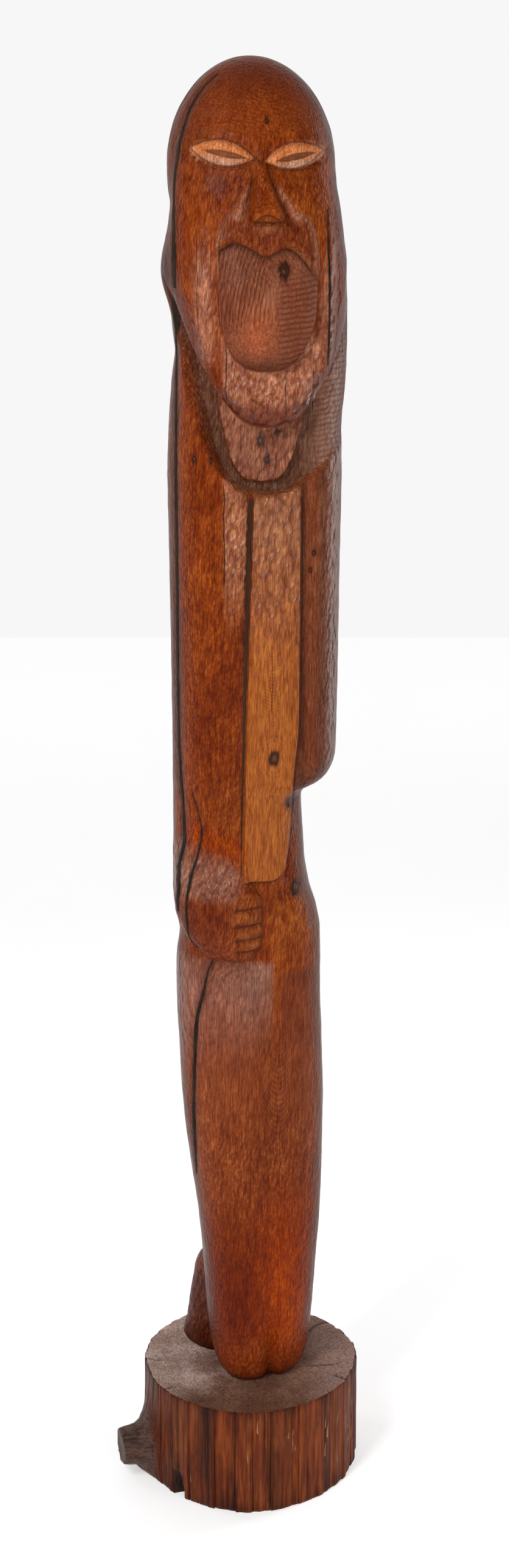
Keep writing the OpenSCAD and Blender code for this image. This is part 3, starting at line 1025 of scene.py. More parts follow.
def shade(share, colour, tone):
    return mix(share, colour, tone, "MULTIPLY")


def mix_heights(share, first, second):
    return wire("ShaderNodeMix", {"Factor": share, 2: first, 3: second}, data_type="FLOAT")


def stretched(scale):
    return wire("ShaderNodeMapping", {"Vector": object_space(), "Scale": scale}, "Vector")


def slanted(wide, tall, lean):
    """Space in which a cell is so wide and tall in metres, leaning over by some degrees."""
    inputs = {"Vector": object_space(), "Scale": (wide, wide, tall), "Rotation": (0, math.radians(lean), 0)}
    return wire("ShaderNodeMapping", inputs, "Vector", vector_type="TEXTURE")


def noise(space, detail=3.0, rough=0.55):
    inputs = {"Vector": space, "Scale": 1.0, "Detail": detail, "Roughness": rough}
    return wire("ShaderNodeTexNoise", inputs, "Fac")


def grain(scale, detail=3.0, rough=0.55):
    return noise(stretched(scale), detail, rough)


def cells(space, out="Distance"):
    return wire("ShaderNodeTexVoronoi", {"Vector": space, "Scale": 1.0}, out)


def bump(height, distance):
    return wire("ShaderNodeBump", {"Height": height, "Distance": distance, "Strength": 1.0}, "Normal")


def stored(name, part="Fac"):
    return wire("ShaderNodeAttribute", out=part, attribute_name=name)


def front_only(share, y):
    return share * span(y, 0.0, -0.02)


# %% [markdown]
# ## Colour map of the carving
#
# One log, but not one colour: the breast panel and neck are paler sapwood, the face and arms
# are amber, the knees are a deep red, and the feet are brown. These tones are painted on the
# points from the same masks that shaped the relief, so colour and form share their edges. Some
# tints are painted light and shade: shade in hollows, grooves and under edges, and highlights
# and sheen on parts that face the lamps.

# %% Tones and workmanship of each zone
AMBER = (0.268, 0.049, 0.005)
HONEY = (0.41, 0.114, 0.018)
STRAW = (0.42, 0.158, 0.062)
COCOA = (0.205, 0.054, 0.024)
ROSE = (0.32, 0.088, 0.044)
RUST = (0.20, 0.040, 0.012)
CHERRY = (0.19, 0.022, 0.001)
EMBER = (0.42, 0.060, 0.0005)
UMBER = (0.085, 0.024, 0.010)
CROWN = (0.155, 0.027, 0.004)
APEX_HIGHLIGHT = (0.40, 0.095, 0.030)
EYELID = (0.68, 0.235, 0.085)
BLUSH = (0.56, 0.250, 0.160)
TROUGH_TONE_AND_SHADE = (0.165, 0.075, 0.048)
DUSK = (0.28, 0.115, 0.070)

fx, fh = gx / MM, gz / MM - STUMP_TOP
outward = -trunk(turn_grid, h_grid)[3]
front_side = ease(0.05, 0.35, outward)
tone = np.empty(fx.shape + (3,))
tone[:] = AMBER


def tint(colour, share):
    share = np.clip(share, 0, 1)[..., None]
    tone[:] = tone * (1 - share) + np.array(colour) * share


# head
tint(CROWN, 0.9 * ease(1585, 1645, fh))
tint(CROWN, 0.7 * zone["face"] * ease(1500, 1570, fh) * ease(38, 74, np.abs(fx - 8)))
tint(RUST, 0.45 * zone["face"] * ease(1560, 1590, fh))
tint(AMBER, 0.8 * zone["face"] * ridge(1588, 24, fh) * ridge(18, 30, fx))
# painted shade in the eye sockets, under the eyes
tint(CROWN, 0.55 * zone["face"] * ridge(1514, 17, fh) * (ridge(-32, 34, fx) + ridge(50, 20, fx)))
tint(HONEY, 0.6 * zone["face"] * ridge(1476, 26, fh) * ridge(66, 22, fx))
# painted shade in the carved valleys beside the nose
tint(UMBER, 0.75 * zone["valley"])
tint(UMBER, 0.5 * zone["nose"] * ridge(1545, 14, fh))
tint(BLUSH, 0.55 * zone["fold"] * ease(1450, 1410, fh))
tint(RUST, 0.9 * zone["muzzle"] * (1 - zone["nose"]))
# painted highlight along the raised edge of the muzzle
tint(BLUSH, 0.4 * zone["muzzle_rim"])
tint(HONEY, 0.25 * zone["muzzle"] * ridge(5, 4, fh - lip_line(fx)))
# painted highlight on the raised rims outside the nose valleys
tint(BLUSH, 0.6 * zone["wing_rim"])
tint(STRAW, 0.8 * zone["lips"])
# painted shade under the small lips
tint(UMBER, 0.5 * zone["lips"] * ridge(1457.5, 2.4, fh))
tint(EYELID, 0.95 * zone["lid"])
# painted reflection: a pale greyish rim along each lower lid
for cx, ch, long, high, tilt in EYES:
    rise = (fh - ch) * math.cos(math.radians(tilt)) - (fx - cx) * math.sin(math.radians(tilt))
    tint((0.50, 0.34, 0.27), 0.55 * zone["lid"] * ease(-3, -8, rise) * (np.abs(fx - cx) < long))
chin = zone["face"] * (1 - zone["bulge"]) * ease(1352, 1336, fh) * ease(60, 50, np.abs(fx - 25))
# chin shelf: pale chips, with painted light where the shelf faces up
tint((0.56, 0.225, 0.125), 0.85 * chin * ease(1256, 1274, fh))
# painted shade on the underside of the chin, just above the jaw line
tint(CROWN, 0.85 * zone["face"] * ease(20, 5, above(jaw_line, fx, fh)))
tint((0.22, 0.072, 0.039), 0.9 * zone["bulge"])
# painted shade on the lower left side of the bulge
tint(COCOA, 0.7 * zone["bulge"] * ridge(-30, 12, fx) * ease(1410, 1380, fh))
# painted highlights on the bulge: a pale diagonal streak and a brighter orange apex
tint(BLUSH, 0.35 * zone["bulge"] * ridge(1376 + 1.2 * (fx - 12), 10, fh) * ridge(8, 20, fx))
tint(APEX_HIGHLIGHT, 0.95 * zone["bulge"] * ridge(1348, 32, fh) * ridge(9, 21, fx))
# painted shade on the upper right side of the bulge
tint(COCOA, 0.75 * zone["bulge"] * ease(30, 48, fx) * ease(1420, 1380, fh))
# painted shade on the bulge's lower rim, which faces down
tint(UMBER, 0.75 * zone["bulge"] * ease(1332, 1302, fh))
# painted shade just under the lip line, where the muzzle stands over the bulge
tint(UMBER, 0.7 * zone["bulge"] * ridge(-3, 3.0, fh - lip_line(fx)))

# neck and breast
# the sunken neck trough: darker wood tone with painted shade in the recess
tint(TROUGH_TONE_AND_SHADE, zone["neck"] * (1 - zone["patch"]))
tint((0.42, 0.20, 0.14), 0.8 * zone["scoop"] * ease(62, 90, fx))
tint((0.38, 0.145, 0.078), 0.9 * zone["patch"])
tint(STRAW, 0.9 * zone["panel"] * ease(900, 1140, fh))
tint(HONEY, 0.95 * zone["panel"] * ease(1150, 980, fh))
tint((0.66, 0.27, 0.12), 0.62 * zone["strip"])
tint((0.24, 0.066, 0.026), 0.9 * zone["arm_right"])
# painted shade in the step between the panel and the right arm
tint(UMBER, 0.7 * zone["arm_right"] * ridge(64, 4, fx))
# painted shade where the right arm turns away from the lamps
tint((0.15, 0.050, 0.026), 0.8 * zone["arm_right"] * ridge(88, 8, fx))
# painted reflection: pale greyish glints on the outer rim of the right arm
tint((0.46, 0.30, 0.26), 0.8 * zone["arm_right"] * ease(90, 106, fx) * ease(0.25, 0.6, outward))
# painted shade at the lower end of the right arm, over the waist
tint(UMBER, 0.7 * zone["arm_right"] * ease(835, 800, fh))
tint(HONEY, 0.3 * zone["arm_left"] * ridge(760, 60, fh) * ridge(-20, 30, fx))

# hand and hip
# back of the hand: wood tone with a painted pinkish-grey sheen on its chips
tint(DUSK, 0.5 * zone["back_of_hand"])
tint(BLUSH, 0.32 * zone["back_of_hand"])
tint(RUST, 0.75 * zone["hand"] * (1 - zone["back_of_hand"]) * ease(680, 640, fh))
tint(RUST, 0.6 * zone["fingers"])
# painted highlights along the middle of each finger roll
for roll in (669, 648.5, 629, 612):
    tint(HONEY, 0.4 * zone["fingers"] * ridge(roll + 0.1 * fx, 6, fh))
# painted shadow under the fist
tint(UMBER, 0.8 * front_side * ridge(582, 5, fh) * hump(-20, 44, fx))
tint(HONEY, 0.35 * front_side * ease(20, 30, fx) * hump(640, 90, fh))
tint(EMBER, 0.6 * front_side * ridge(745, 16, fh + 0.4 * (fx + 60)) * ease(0, -12, fx))

# thighs, knees and feet
below = ease(590, 578, fh) * front_side
# pale pinkish top of the left thigh: wood tone with painted light where it faces up
tint((0.30, 0.136, 0.098), 0.9 * below * ease(430, 560, fh) * ease(34, 22, fx))
tint(RUST, 0.9 * ease(572, 568, fh) * front_side * ease(30, 44, fx) * ease(300, 420, fh))
tint(ROSE, 0.5 * below * ease(300, 420, fh) * ease(10, -40, fx))
tint((0.28, 0.066, 0.018), 0.7 * ease(560, 430, fh) * front_side * ease(180, 300, fh))
tint(CHERRY, 0.95 * ease(330, 120, fh) * blend(0.45, 1.0, front_side))
tint(EMBER, 0.9 * ease(330, 150, fh) * ridge(46, 30, fx) * front_side * ease(10, 60, fh))
tint((0.15, 0.044, 0.022), 0.95 * zone["foot"])
tint((0.32, 0.062, 0.014), 0.8 * front_side * ease(80, 30, fh))
# painted shade at the foot of the figure, where the knees roll under onto the stump
tint(UMBER, 0.5 * (1 - zone["foot"]) * ease(14, 0, fh))
tint(UMBER, 0.85 * zone["shoulder"])
tint(COCOA, 0.6 * (1 - front_side) * ease(150, 300, fh))
# painted shade on the right side of the head, turned away from the key lamp
tint(CROWN, 0.7 * front_side * ease(90, 98, fx) * ease(1290, 1340, fh))
# painted shade in the grooves carved on the back
tint(UMBER, 0.7 * zone["back_line"])
tint(AMBER, 0.35 * (1 - front_side) * zone["forearm"])
# painted shade where the surface turns away to the sides
tint((0.06, 0.017, 0.007), 0.62 * ease(0.74, 0.24, outward) * ease(-0.4, 0.1, outward))
# painted shade in the sunken track beside each packed check
for check in CHECKS.values():
    low, high = check["span"]
    beside = ridge(check["line"](fh), check["wide"] * 0.8, fx) * front_side
    fade = ease(780, 1000, fh) if high == STRIP_END else 1.0
    tint(UMBER, 0.7 * beside * ease(low - 4, low + 6, fh) * ease(high + 4, high - 6, fh) * fade)
spare = [list(CROWN), list(CROWN)]
paint(figure, "tone", np.vstack([tone.reshape(-1, 3), spare]))

matte = np.clip(0.8 * zone["bulge"] + 0.9 * zone["neck"] + zone["foot"] + 0.15 * zone["panel"], 0, 1)
chipped = np.clip(zone["bold"] * (1 - zone["lid"]) + chin + 0.6 * zone["fold"]
                  + 0.55 * ease(600, 560, fh) * ease(400, 500, fh) * ease(25, 0, fx) - zone["bulge"], 0, 1)
chipped = np.clip(chipped + 0.45 * zone["bulge"] * ridge(1348, 34, fh) * ridge(9, 22, fx), 0, 1)
ribs = np.clip(zone["bulge"] * ease(26, 40, fx) * ease(1425, 1395, fh) + zone["scoop"] * ease(60, 80, fx)
                 + 0.5 * zone["fold"] * ease(1400, 1380, fh) * (fx > 40), 0, 1)
ringed = np.clip(0.3 - 0.3 * ribs - 0.3 * zone["bulge"], 0, 1)
scaly = np.clip(0.4 + 0.5 * ease(420, 240, fh) - 0.5 * zone["bulge"] - zone["lid"]
                + 0.3 * zone["arm_left"] - 0.3 * zone["panel"] - 0.6 * zone["scoop"], 0, 1)
calm = np.clip(0.6 * zone["lid"] + 0.5 * zone["face"] * ease(1550, 1575, fh)
               + zone["panel"] * blend(0.35, 0.8, ease(1010, 900, fh))
               + 0.1 * zone["arm_left"] + 0.6 * zone["scoop"]
               + 0.5 * front_side * ease(590, 560, fh) * ease(300, 420, fh) + 0.6 * zone["bulge"]
               + 0.5 * zone["arm_right"] + 0.4 * front_side * ease(340, 240, fh), 0, 1)
work = np.stack([matte, chipped, ringed], axis=-1).reshape(-1, 3)
paint(figure, "work", np.vstack([work, [[0, 0, 0], [0, 0, 0]]]))
arced = np.clip(zone["bulge"] * ease(30, 10, fx) * ease(1330, 1372, fh)
                + 0.5 * zone["muzzle"] * ease(30, 50, fx), 0, 1)
SHARES = {"scaly": scaly, "calm": calm, "ribbed": ribs, "lidded": zone["lid"], "arced": arced}
for name, values in SHARES.items():
    paint(figure, name, np.append(values.ravel(), [0, 0]))

# %% [markdown]
# ## Oiled, chip-marked timber
#
# The finish is built as the eye reads it: growth rings round a wandering pith, fine fibres
# along the log, knots that push the rings aside, hairline checks, and gouge marks, each chip a
# little lighter or darker at random, with painted shade along its borders. Roughness and bump
# come from the same patterns. The chipped zones shine more than the smooth ones, and the clear
# coat is faint.

# %% Carved log wood
KNOTS = [(39.7, 1416, 6.5), (13, 1224, 4.6), (20.8, 1202, 4.0), (33, 1233, 3.4), (-64, 1203, 2.8),
         (-45, 1202, 2.4), (30, 847, 6.6), (49.5, 788, 6.0), (56.6, 676, 6.8), (76, 1092, 2.6),
         (72, 1072, 2.2), (19.5, 1579, 2.6)]
HAIRLINES = [(-59, 1330, 1466, 0.5), (-26, 1264, 1342, 0.8), (42.3, 1246, 1304, 0.6),
             (73.7, 1252, 1320, 0.7), (-29.5, 1052, 1184, 0.9), (27, 900, 985, 0.35)]


def knot_field(coords):
    """1 at the heart of a knot, fading out round it; front of the log only."""
    total = None
    for across, height, size in KNOTS:
        centre = (across * MM, 0.0, (height + STUMP_TOP) * MM)
        local = vector("SUBTRACT", coords, centre)
        scaled = vector("MULTIPLY", local, (1 / (size * MM), 0.0, 0.62 / (size * MM)))
        far = vector("LENGTH", scaled)
        total = far if total is None else calc("MINIMUM", total, far)
    behind = span(axes(coords)["Y"], -0.02, 0.0, 0.0, 9.0)
    return total + behind


def hairline_field(coords):
    parts = axes(coords)
    wobble = (grain((2, 2, 45)) - 0.5) * 0.006
    x = parts["X"] + wobble
    total = None
    for across, low, high, wide in HAIRLINES:
        off = abs(x - across * MM)
        line = span(off, wide * 0.9 * MM, wide * 0.25 * MM)
        z0, z1 = (low + STUMP_TOP) * MM, (high + STUMP_TOP) * MM
        line *= span(parts["Z"], z0, z0 + 0.012)
        line *= span(parts["Z"], z1, z1 - 0.02)
        total = line if total is None else calc("MAXIMUM", total, line)
    return front_only(total, parts["Y"])


def wood_rings(coords, pith, spacing, wander, push=None):
    """Sawtooth of the growth rings, 0 in early wood to 1 in late wood."""
    flat = vector("SUBTRACT", coords, pith)
    flat = wire("ShaderNodeMapping", {"Vector": flat, "Rotation": (0.035, -0.03, 0), "Scale": (1, 1, 0)})
    far = vector("LENGTH", flat)
    drift = (grain((7, 7, 2.4), 2.5) - 0.5) * wander
    far += drift
    if push is not None:
        far += push
    return calc("FRACT", far / spacing)


def almond_field(coords, cx, ch, half_long, half_tall, tilt):
    """The same almond as the carving uses, as nodes: millimetres inside the outline."""
    lean = math.radians(tilt)
    local = vector("SUBTRACT", coords, (cx * MM, 0, (ch + STUMP_TOP) * MM))
    along = vector("DOT_PRODUCT", local, (math.cos(lean), 0, math.sin(lean)))
    across = vector("DOT_PRODUCT", local, (-math.sin(lean), 0, math.cos(lean)))
    share = along / (half_long * MM)
    height = (1.0 - share * share) * half_tall
    return height - abs(across) * 1000.0


def eye_fields(coords):
    """Painted shade: dark lines in the cut round the lids, the dark slits between them, and a darker edge
    along each slit.
    """
    rims, slits = None, None
    for cx, ch, long, tall, tilt in EYES:
        rim = abs(almond_field(coords, cx, ch, long, tall, tilt) + 0.6)
        slit = almond_field(coords, cx + 3, ch - 1.5, long * 0.66, 3.2, tilt * 1.1)
        rims = rim if rims is None else calc("MINIMUM", rims, rim)
        slits = slit if slits is None else calc("MAXIMUM", slits, slit)
    facing = span(axes(coords)["Y"], 0.0, -0.02)
    rims = span(rims, 1.9, 0.5) * facing
    heart = span(slits, -0.4, 0.8) * facing
    slit_edge_shade = span(abs(slits - 0.2), 0.9, 0.2) * facing
    return rims, heart, slit_edge_shade


def drawn_line(value, low, high, line, floor_value, roof_value, count=14):
    """A curve node that follows one of the lines drawn above; value, low and high in metres."""
    made = step("ShaderNodeFloatCurve", {"Value": span(value, low, high, way="LINEAR")})
    track = made.mapping.curves[0]
    for k in range(count):
        share = k / (count - 1)
        drawn_at = np.array([(low + (high - low) * share) / MM])
        height = (float(line(drawn_at)[0]) - floor_value) / (roof_value - floor_value)
        spot = track.points[k] if k < 2 else track.points.new(share, height)
        spot.location = (share, min(max(height, 0), 1)) if k != 1 else (share, height)
    made.mapping.update()
    return calc("MULTIPLY_ADD", Wire(made.outputs[0]), (roof_value - floor_value) * MM, floor_value * MM)


def thin_line(first, second, half, centre=0.0):
    """1 where two values are within half a millimetre width of each other, off to one side by centre."""
    gap = abs(first - second - centre * MM)
    return span(gap, half * 1.5 * MM, half * 0.4 * MM)


def between(value, low, high, soft=0.002):
    return span(value, low - soft, low + soft) * span(value, high + soft, high - soft)


def cut_and_shade_lines(coords):
    """Dark lines along the carving, painted shade: round the panel, under the lip and the nose tip, along the
    muzzle, beside the fist and between the fingers.
    """
    parts = axes(coords)
    x, z = parts["X"], parts["Z"]
    h = z - STUMP_TOP * MM
    left = drawn_line(h, 0.690, 1.165, panel_left, -20, 20)
    right = drawn_line(h, 0.690, 1.165, panel_right, 30, 70)
    left = thin_line(x, left, 0.9, -0.6) * span(h, 0.95, 1.10, 0.35, 1.0)
    lines = [left * between(h, 0.696, 1.16),
             thin_line(x, right, 1.2, 0.8) * between(h, 0.708, 1.16)]
    foot = calc("MAXIMUM", (x - 0.026) / 0.018, 0.0)**2.0
    foot = calc("MULTIPLY_ADD", foot, 0.014, 0.690)
    lines.append(thin_line(h, foot, 1.3, 0.0) * between(x, -0.006, 0.042))
    for line, low, high in ((muzzle_left, -40, 10), (muzzle_right, 25, 75)):
        edge = drawn_line(h, 1.410, 1.490, line, low, high, 16)
        edge = thin_line(x, edge, 0.8) * between(h, 1.412, 1.476, 0.006)
        lines.append(edge * 0.7)
    lip = drawn_line(x, -0.034, 0.071, lip_line, 1400, 1460, 20)
    lines.append(thin_line(h, lip, 1.0, -0.8) * between(x, -0.033, 0.070))
    tilt = calc("MULTIPLY_ADD", x, 0.10, 0.0)
    for groove in FINGER_GROOVES:
        line = thin_line(h - tilt, groove * MM, 1.1)
        lines.append(line * between(x, -0.018, 0.0145, 0.003))
    edge = drawn_line(h, 0.583, 0.700, fist_right, -10, 20, 18)
    edge = thin_line(x, edge, 1.6, 0.8) * between(h, 0.588, 0.690, 0.006)
    lines.append(edge * 0.45)
    across = (x - 0.021) * (1 / 0.014)
    arch = calc("MULTIPLY_ADD", across * across, -0.0075, 1.4765)
    lines.append(thin_line(h, arch, 0.8) * between(x, 0.008, 0.034))
    lines.append(thin_line(h, 1.4688, 0.8) * between(x, 0.004, 0.040))
    total = lines[0]
    for line in lines[1:]:
        total = calc("MAXIMUM", total, line)
    return front_only(total, parts["Y"])


# centre across, half width, drop at the half width, lowest, highest, pitch, strength
ARCHES = [(36, 26, 52, 265, 535, 7.5, 0.5), (22, 40, 26, 1575, 1652, 4.6, 0.4),
          (28, 15, 9, 850, 1010, 4.2, 0.32)]


def nested_arches(coords, wobble):
    """Arched grain where the cut runs along the rings: thigh, forehead and breast panel."""
    parts = axes(coords)
    total = None
    for centre, half, drop, low, high, pitch, strength in ARCHES:
        across = (parts["X"] - centre * MM) * (1 / (half * MM))
        bend = across * across * (-drop * MM)
        level = parts["Z"] + bend + wobble * 0.016
        wave = calc("FRACT", level / (pitch * MM))
        line = span(wave, 0.45, 0.9) * span(wave, 1.0, 0.95)
        fade = 0.25 * (high - low) * MM
        window = between(parts["Z"], (low + STUMP_TOP) * MM + fade, (high + STUMP_TOP) * MM - fade, fade)
        window *= span(abs(across), 1.5, 0.5, 0.0, strength)
        line *= window
        total = line if total is None else calc("MAXIMUM", total, line)
    return front_only(total, parts["Y"])


figure_wood, shader = new_material("carved_log_wood")
coords = object_space()
base = stored("tone", "Color")
worked = step("ShaderNodeSeparateColor", {0: stored("work", "Color")})
matte_share, chip_share, ring_share = (Wire(output) for output in worked.outputs)

knots = knot_field(coords)
knot_push = span(knots, 3.2, 0.4) * 0.007
rings_tooth = wood_rings(coords, (0.012, 0.03, 0.8), 0.0021, 0.022, knot_push)
late = span(rings_tooth, 0.35, 0.9) * span(rings_tooth, 1.0, 0.94)

flecks = noise(slanted(0.0034, 0.015, 14), 4, 0.6)
patches = grain((58, 58, 21), 3, 0.6)
fibre = grain((820, 820, 45), 3, 0.6)
broad = grain((13, 13, 4.5), 3)
pores = span(grain((1100, 1100, 130), 2), 0.62, 0.70)

chip_space = slanted(0.0078, 0.0125, 28)
chip_far = cells(chip_space)
chip_shade = wire("ShaderNodeSeparateColor", {0: cells(chip_space, "Color")})
small_space = slanted(0.0032, 0.0058, 12)
small_far = cells(small_space)
hair = hairline_field(coords)
place = axes(coords)
rib_level = place["Z"] + place["X"] * -0.16
rib_turns = rib_level / 0.0062 + patches * 1.5
rib = span(abs(calc("FRACT", rib_turns) - 0.5), 0.20, 0.46)
rib = rib * stored("ribbed") * span(flecks, 0.38, 0.56, 0.35, 1.0)
arc_far = vector("SUBTRACT", coords, (0.100, 0.0, 1.470))
arc_far = vector("MULTIPLY", arc_far, (1.0, 0.0, 0.55))
arc_far = vector("LENGTH", arc_far)
arc_turns = arc_far / 0.0046 + patches * 2.4
arc = span(abs(calc("FRACT", arc_turns) - 0.5), 0.26, 0.46)
arc = arc * stored("arced") * span(flecks, 0.38, 0.56, 0.3, 1.0)
rib = calc("MAXIMUM", rib, arc)


def toned(share, low, high, dark, light):
    """Multiplies the colour so far by a shade that runs from dark to light."""
    return shade(1.0, colour, mix(span(share, low, high), dark, light))


def banded(share, base_colour, dark, light):
    """Goes from one multiple of a colour to another."""
    return mix(share, shade(1.0, base_colour, dark), shade(1.0, base_colour, light))


colour = base
colour = toned(broad, 0.34, 0.66, (0.80, 0.70, 0.64), (1.10, 1.14, 1.16))
colour = toned(patches, 0.34, 0.66, (0.80, 0.70, 0.64), (1.10, 1.16, 1.18))
colour = toned(flecks, 0.36, 0.64, (0.74, 0.56, 0.46), (1.16, 1.32, 1.3))
# painted shade: the small chips darken towards their borders
scales = mix(span(small_far, 0.25, 0.70), (1.12, 1.16, 1.18), (0.64, 0.48, 0.40))
colour = mix(stored("scaly") * 0.9, colour, shade(1.0, colour, scales))
calm_share = stored("calm")
colour = mix(calm_share * 0.85, colour, base)
plain = colour
colour = toned(fibre, 0.36, 0.64, (0.66, 0.54, 0.46), (1.16, 1.22, 1.24))
colour = mix(stored("ribbed") * 0.75, colour, plain)
chip_tone = mix(span(chip_shade, 0.0, 1.0), (0.84, 0.78, 0.74), (1.14, 1.18, 1.2))
# painted shade along the borders of the gouge chips
chip_tone = mix(span(chip_far, 0.40, 0.78), chip_tone, (0.76, 0.66, 0.60))
colour = mix(chip_share * 0.85, colour, shade(1.0, colour, chip_tone))
colour = shade(late * (ring_share * 0.8), colour, (0.46, 0.34, 0.28))
colour = shade(rib * 0.75, colour, (0.46, 0.34, 0.28))
arches = nested_arches(coords, broad)
colour = shade(arches, colour, (0.42, 0.28, 0.20))
lines = cut_and_shade_lines(coords)
# painted shade along the edges and in the grooves of the carving
colour = mix(lines * 0.7, colour, (0.060, 0.018, 0.008))
rims, heart, slit_edge_shade = eye_fields(coords)
lid_turn = place["X"] * (1 / 0.0034)
lid_stroke = lid_turn + fibre * 1.6
lid_stroke = span(abs(calc("FRACT", lid_stroke) - 0.5), 0.28, 0.5)
colour = shade(lid_stroke * (stored("lidded") * 0.45), colour, (0.52, 0.36, 0.28))
# painted shade in the hollow eye slits, along their edges and in the cut round the lids
slit_tone = mix(span(fibre, 0.4, 0.6), (0.19, 0.052, 0.022), (0.060, 0.018, 0.010))
colour = mix(heart * 0.8, colour, slit_tone)
colour = mix(slit_edge_shade * 0.45, colour, (0.045, 0.013, 0.006))
colour = mix(rims * 0.6, colour, (0.060, 0.018, 0.009))
colour = shade(pores * 0.5, colour, (0.36, 0.22, 0.16))
knot_edge = knots + (flecks - 0.5) * 1.3
colour = shade(span(knot_edge, 1.7, 0.8, 0.0, 0.6), colour, (0.40, 0.26, 0.20))
colour = mix(span(knot_edge, 1.05, 0.75, 0.0, 0.9), colour, (0.030, 0.010, 0.005))
colour = mix(span(knot_edge, 0.42, 0.2, 0.0, 0.6), colour, (0.16, 0.060, 0.024))
colour = mix(hair * 0.95, colour, (0.010, 0.005, 0.004))
feed(shader, {"Base Color": colour})

rough = span(patches, 0.3, 0.7, 0.26, 0.38) + matte_share * 0.22
feed(shader, {"Roughness": rough, "Specular IOR Level": span(chip_share, 0.0, 1.0, 0.06, 0.30),
              "Coat Weight": 0.02, "Coat Roughness": 0.16})

chip_height = chip_far**1.6 * span(chip_share, 0.0, 1.0, 0.5, 5.0)
small_height = small_far**1.6 * span(chip_share, 0.0, 1.0, 0.8, 0.4)
height = chip_height + small_height
height += late * (ring_share * 0.14)
RELIEF = ((0.4, flecks), (-0.9, lines), (-0.8, rims), (-0.7, slit_edge_shade), (-0.5, arches), (0.14, fibre),
          (-0.9, rib), (-0.9, hair))
for amount, pattern in RELIEF:
    height += pattern * amount
height -= span(knot_edge, 1.2, 0.8, 0.0, 0.3)
feed(shader, {"Normal": bump(height, 0.001)})
figure.data.materials.append(figure_wood)
print("carved_log_wood:", len(tree.nodes), "nodes")

# %% [markdown]
# ## Weathered stump timber
#
# The stump is rougher than the figure. Its side shows split fibres in red-brown with dark
# streaks and a few pale torn edges, its top is dull end grain with rings and short radial
# checks, and the branch stub is darker than both.

# %% Stump wood
stump_wood, shader = new_material("weathered_stump_wood")
coords = object_space()
top_share = stored("top_share")
stub_share = stored("stub_share")
dark_share = stored("dark_share")
streak = grain((62, 62, 3.0), 4, 0.62)
fine = grain((520, 520, 11), 4, 0.65)
smudge = grain((16, 16, 9), 4, 0.6)
grit = grain((900, 900, 900), 3)
split_line = span(grain((330, 330, 4.5), 3, 0.7), 0.60, 0.68)
tear = span(grain((150, 150, 9), 3), 0.66, 0.70) * span(grain((12, 12, 5), 2), 0.52, 0.6)
side_colour = mix(span(streak, 0.35, 0.68), (0.225, 0.040, 0.005), (0.070, 0.013, 0.002))
side_colour = mix(span(smudge, 0.52, 0.68, 0.0, 0.7), side_colour, (0.25, 0.060, 0.014))
side_colour = shade(span(smudge, 0.50, 0.36, 0.0, 0.8), side_colour, (0.46, 0.38, 0.36))
side_colour = shade(span(fine, 0.42, 0.7, 0.0, 0.5), side_colour, (0.45, 0.36, 0.32))
side_colour = mix(tear * 0.8, side_colour, (0.36, 0.19, 0.10))
middling = grain((250, 250, 17), 3, 0.65)
side_colour = banded(span(middling, 0.36, 0.62), side_colour, (1.18, 1.34, 1.3), (0.68, 0.58, 0.54))
tooth = wood_rings(coords, (0.02, 0.015, 0.1), 0.0026, 0.016)
late = span(tooth, 0.4, 0.95) * span(smudge, 0.36, 0.60, 0.15, 1.0)
place = axes(coords)
from_left = place["X"] * 6.0 + place["Y"] * -2.0
# pale end grain with a painted sheen, strongest on the left towards the key lamp
pale = span(from_left + smudge * 0.6, 0.35, -0.25)
top_colour = mix(pale, (0.24, 0.125, 0.082), (0.58, 0.44, 0.39))
near_front = span(place["Y"] + smudge * 0.04, -0.07, -0.10)
top_colour = mix(near_front * 0.85, top_colour, (0.155, 0.068, 0.038))
top_colour = shade(span(smudge, 0.36, 0.62, 0.0, 0.7), top_colour, (0.58, 0.46, 0.40))
spoke = calc("ARCTAN2", place["Y"], place["X"])
spoke = wire("ShaderNodeCombineXYZ", {0: spoke * 11.0})
rays = span(noise(spoke, 4, 0.7), 0.60, 0.70)
from_pith = vector("LENGTH", stretched((1, 1, 0)))
rays *= span(from_pith + smudge * 0.08, 0.10, 0.17)
top_colour = shade(rays * 0.6, top_colour, (0.36, 0.27, 0.23))
# painted sheen fading: the right part of the top is greyer and darker
right_side = span(place["X"], 0.06, 0.12)
top_colour = mix(right_side * 0.7, top_colour, (0.38, 0.25, 0.21))
speckle = grain((380, 380, 380), 4, 0.75)
top_colour = banded(span(speckle, 0.38, 0.62), top_colour, (0.62, 0.54, 0.48), (1.30, 1.32, 1.34))
top_colour = shade(late * 0.4, top_colour, (0.52, 0.42, 0.36))
top_colour = shade(span(grit, 0.52, 0.7, 0.0, 0.5), top_colour, (0.5, 0.42, 0.38))
stub_grain = grain((60, 260, 260), 4, 0.65)
stub_colour = mix(span(stub_grain, 0.35, 0.65), (0.120, 0.060, 0.042), (0.036, 0.020, 0.015))
stub_way = math.radians(STUB_TURN)
stub_side = vector("DOT_PRODUCT", coords, (-math.sin(stub_way), math.cos(stub_way), 0))
stub_up = place["Z"] - STUB_Z * MM
stub_far = calc("SQRT", stub_side * stub_side + stub_up * stub_up)
stub_far += streak * 0.004
stub_ring = span(calc("FRACT", stub_far / 0.0036), 0.4, 0.95)
on_end = span(stub_far, 0.032, 0.027)
stub_colour = shade(stub_ring * (on_end * 0.7), stub_colour, (0.36, 0.32, 0.30))
side_colour = shade(split_line * 0.75, side_colour, (0.26, 0.18, 0.15))
side_colour = mix(stored("torn_share") * 0.75, side_colour, (0.40, 0.19, 0.09))
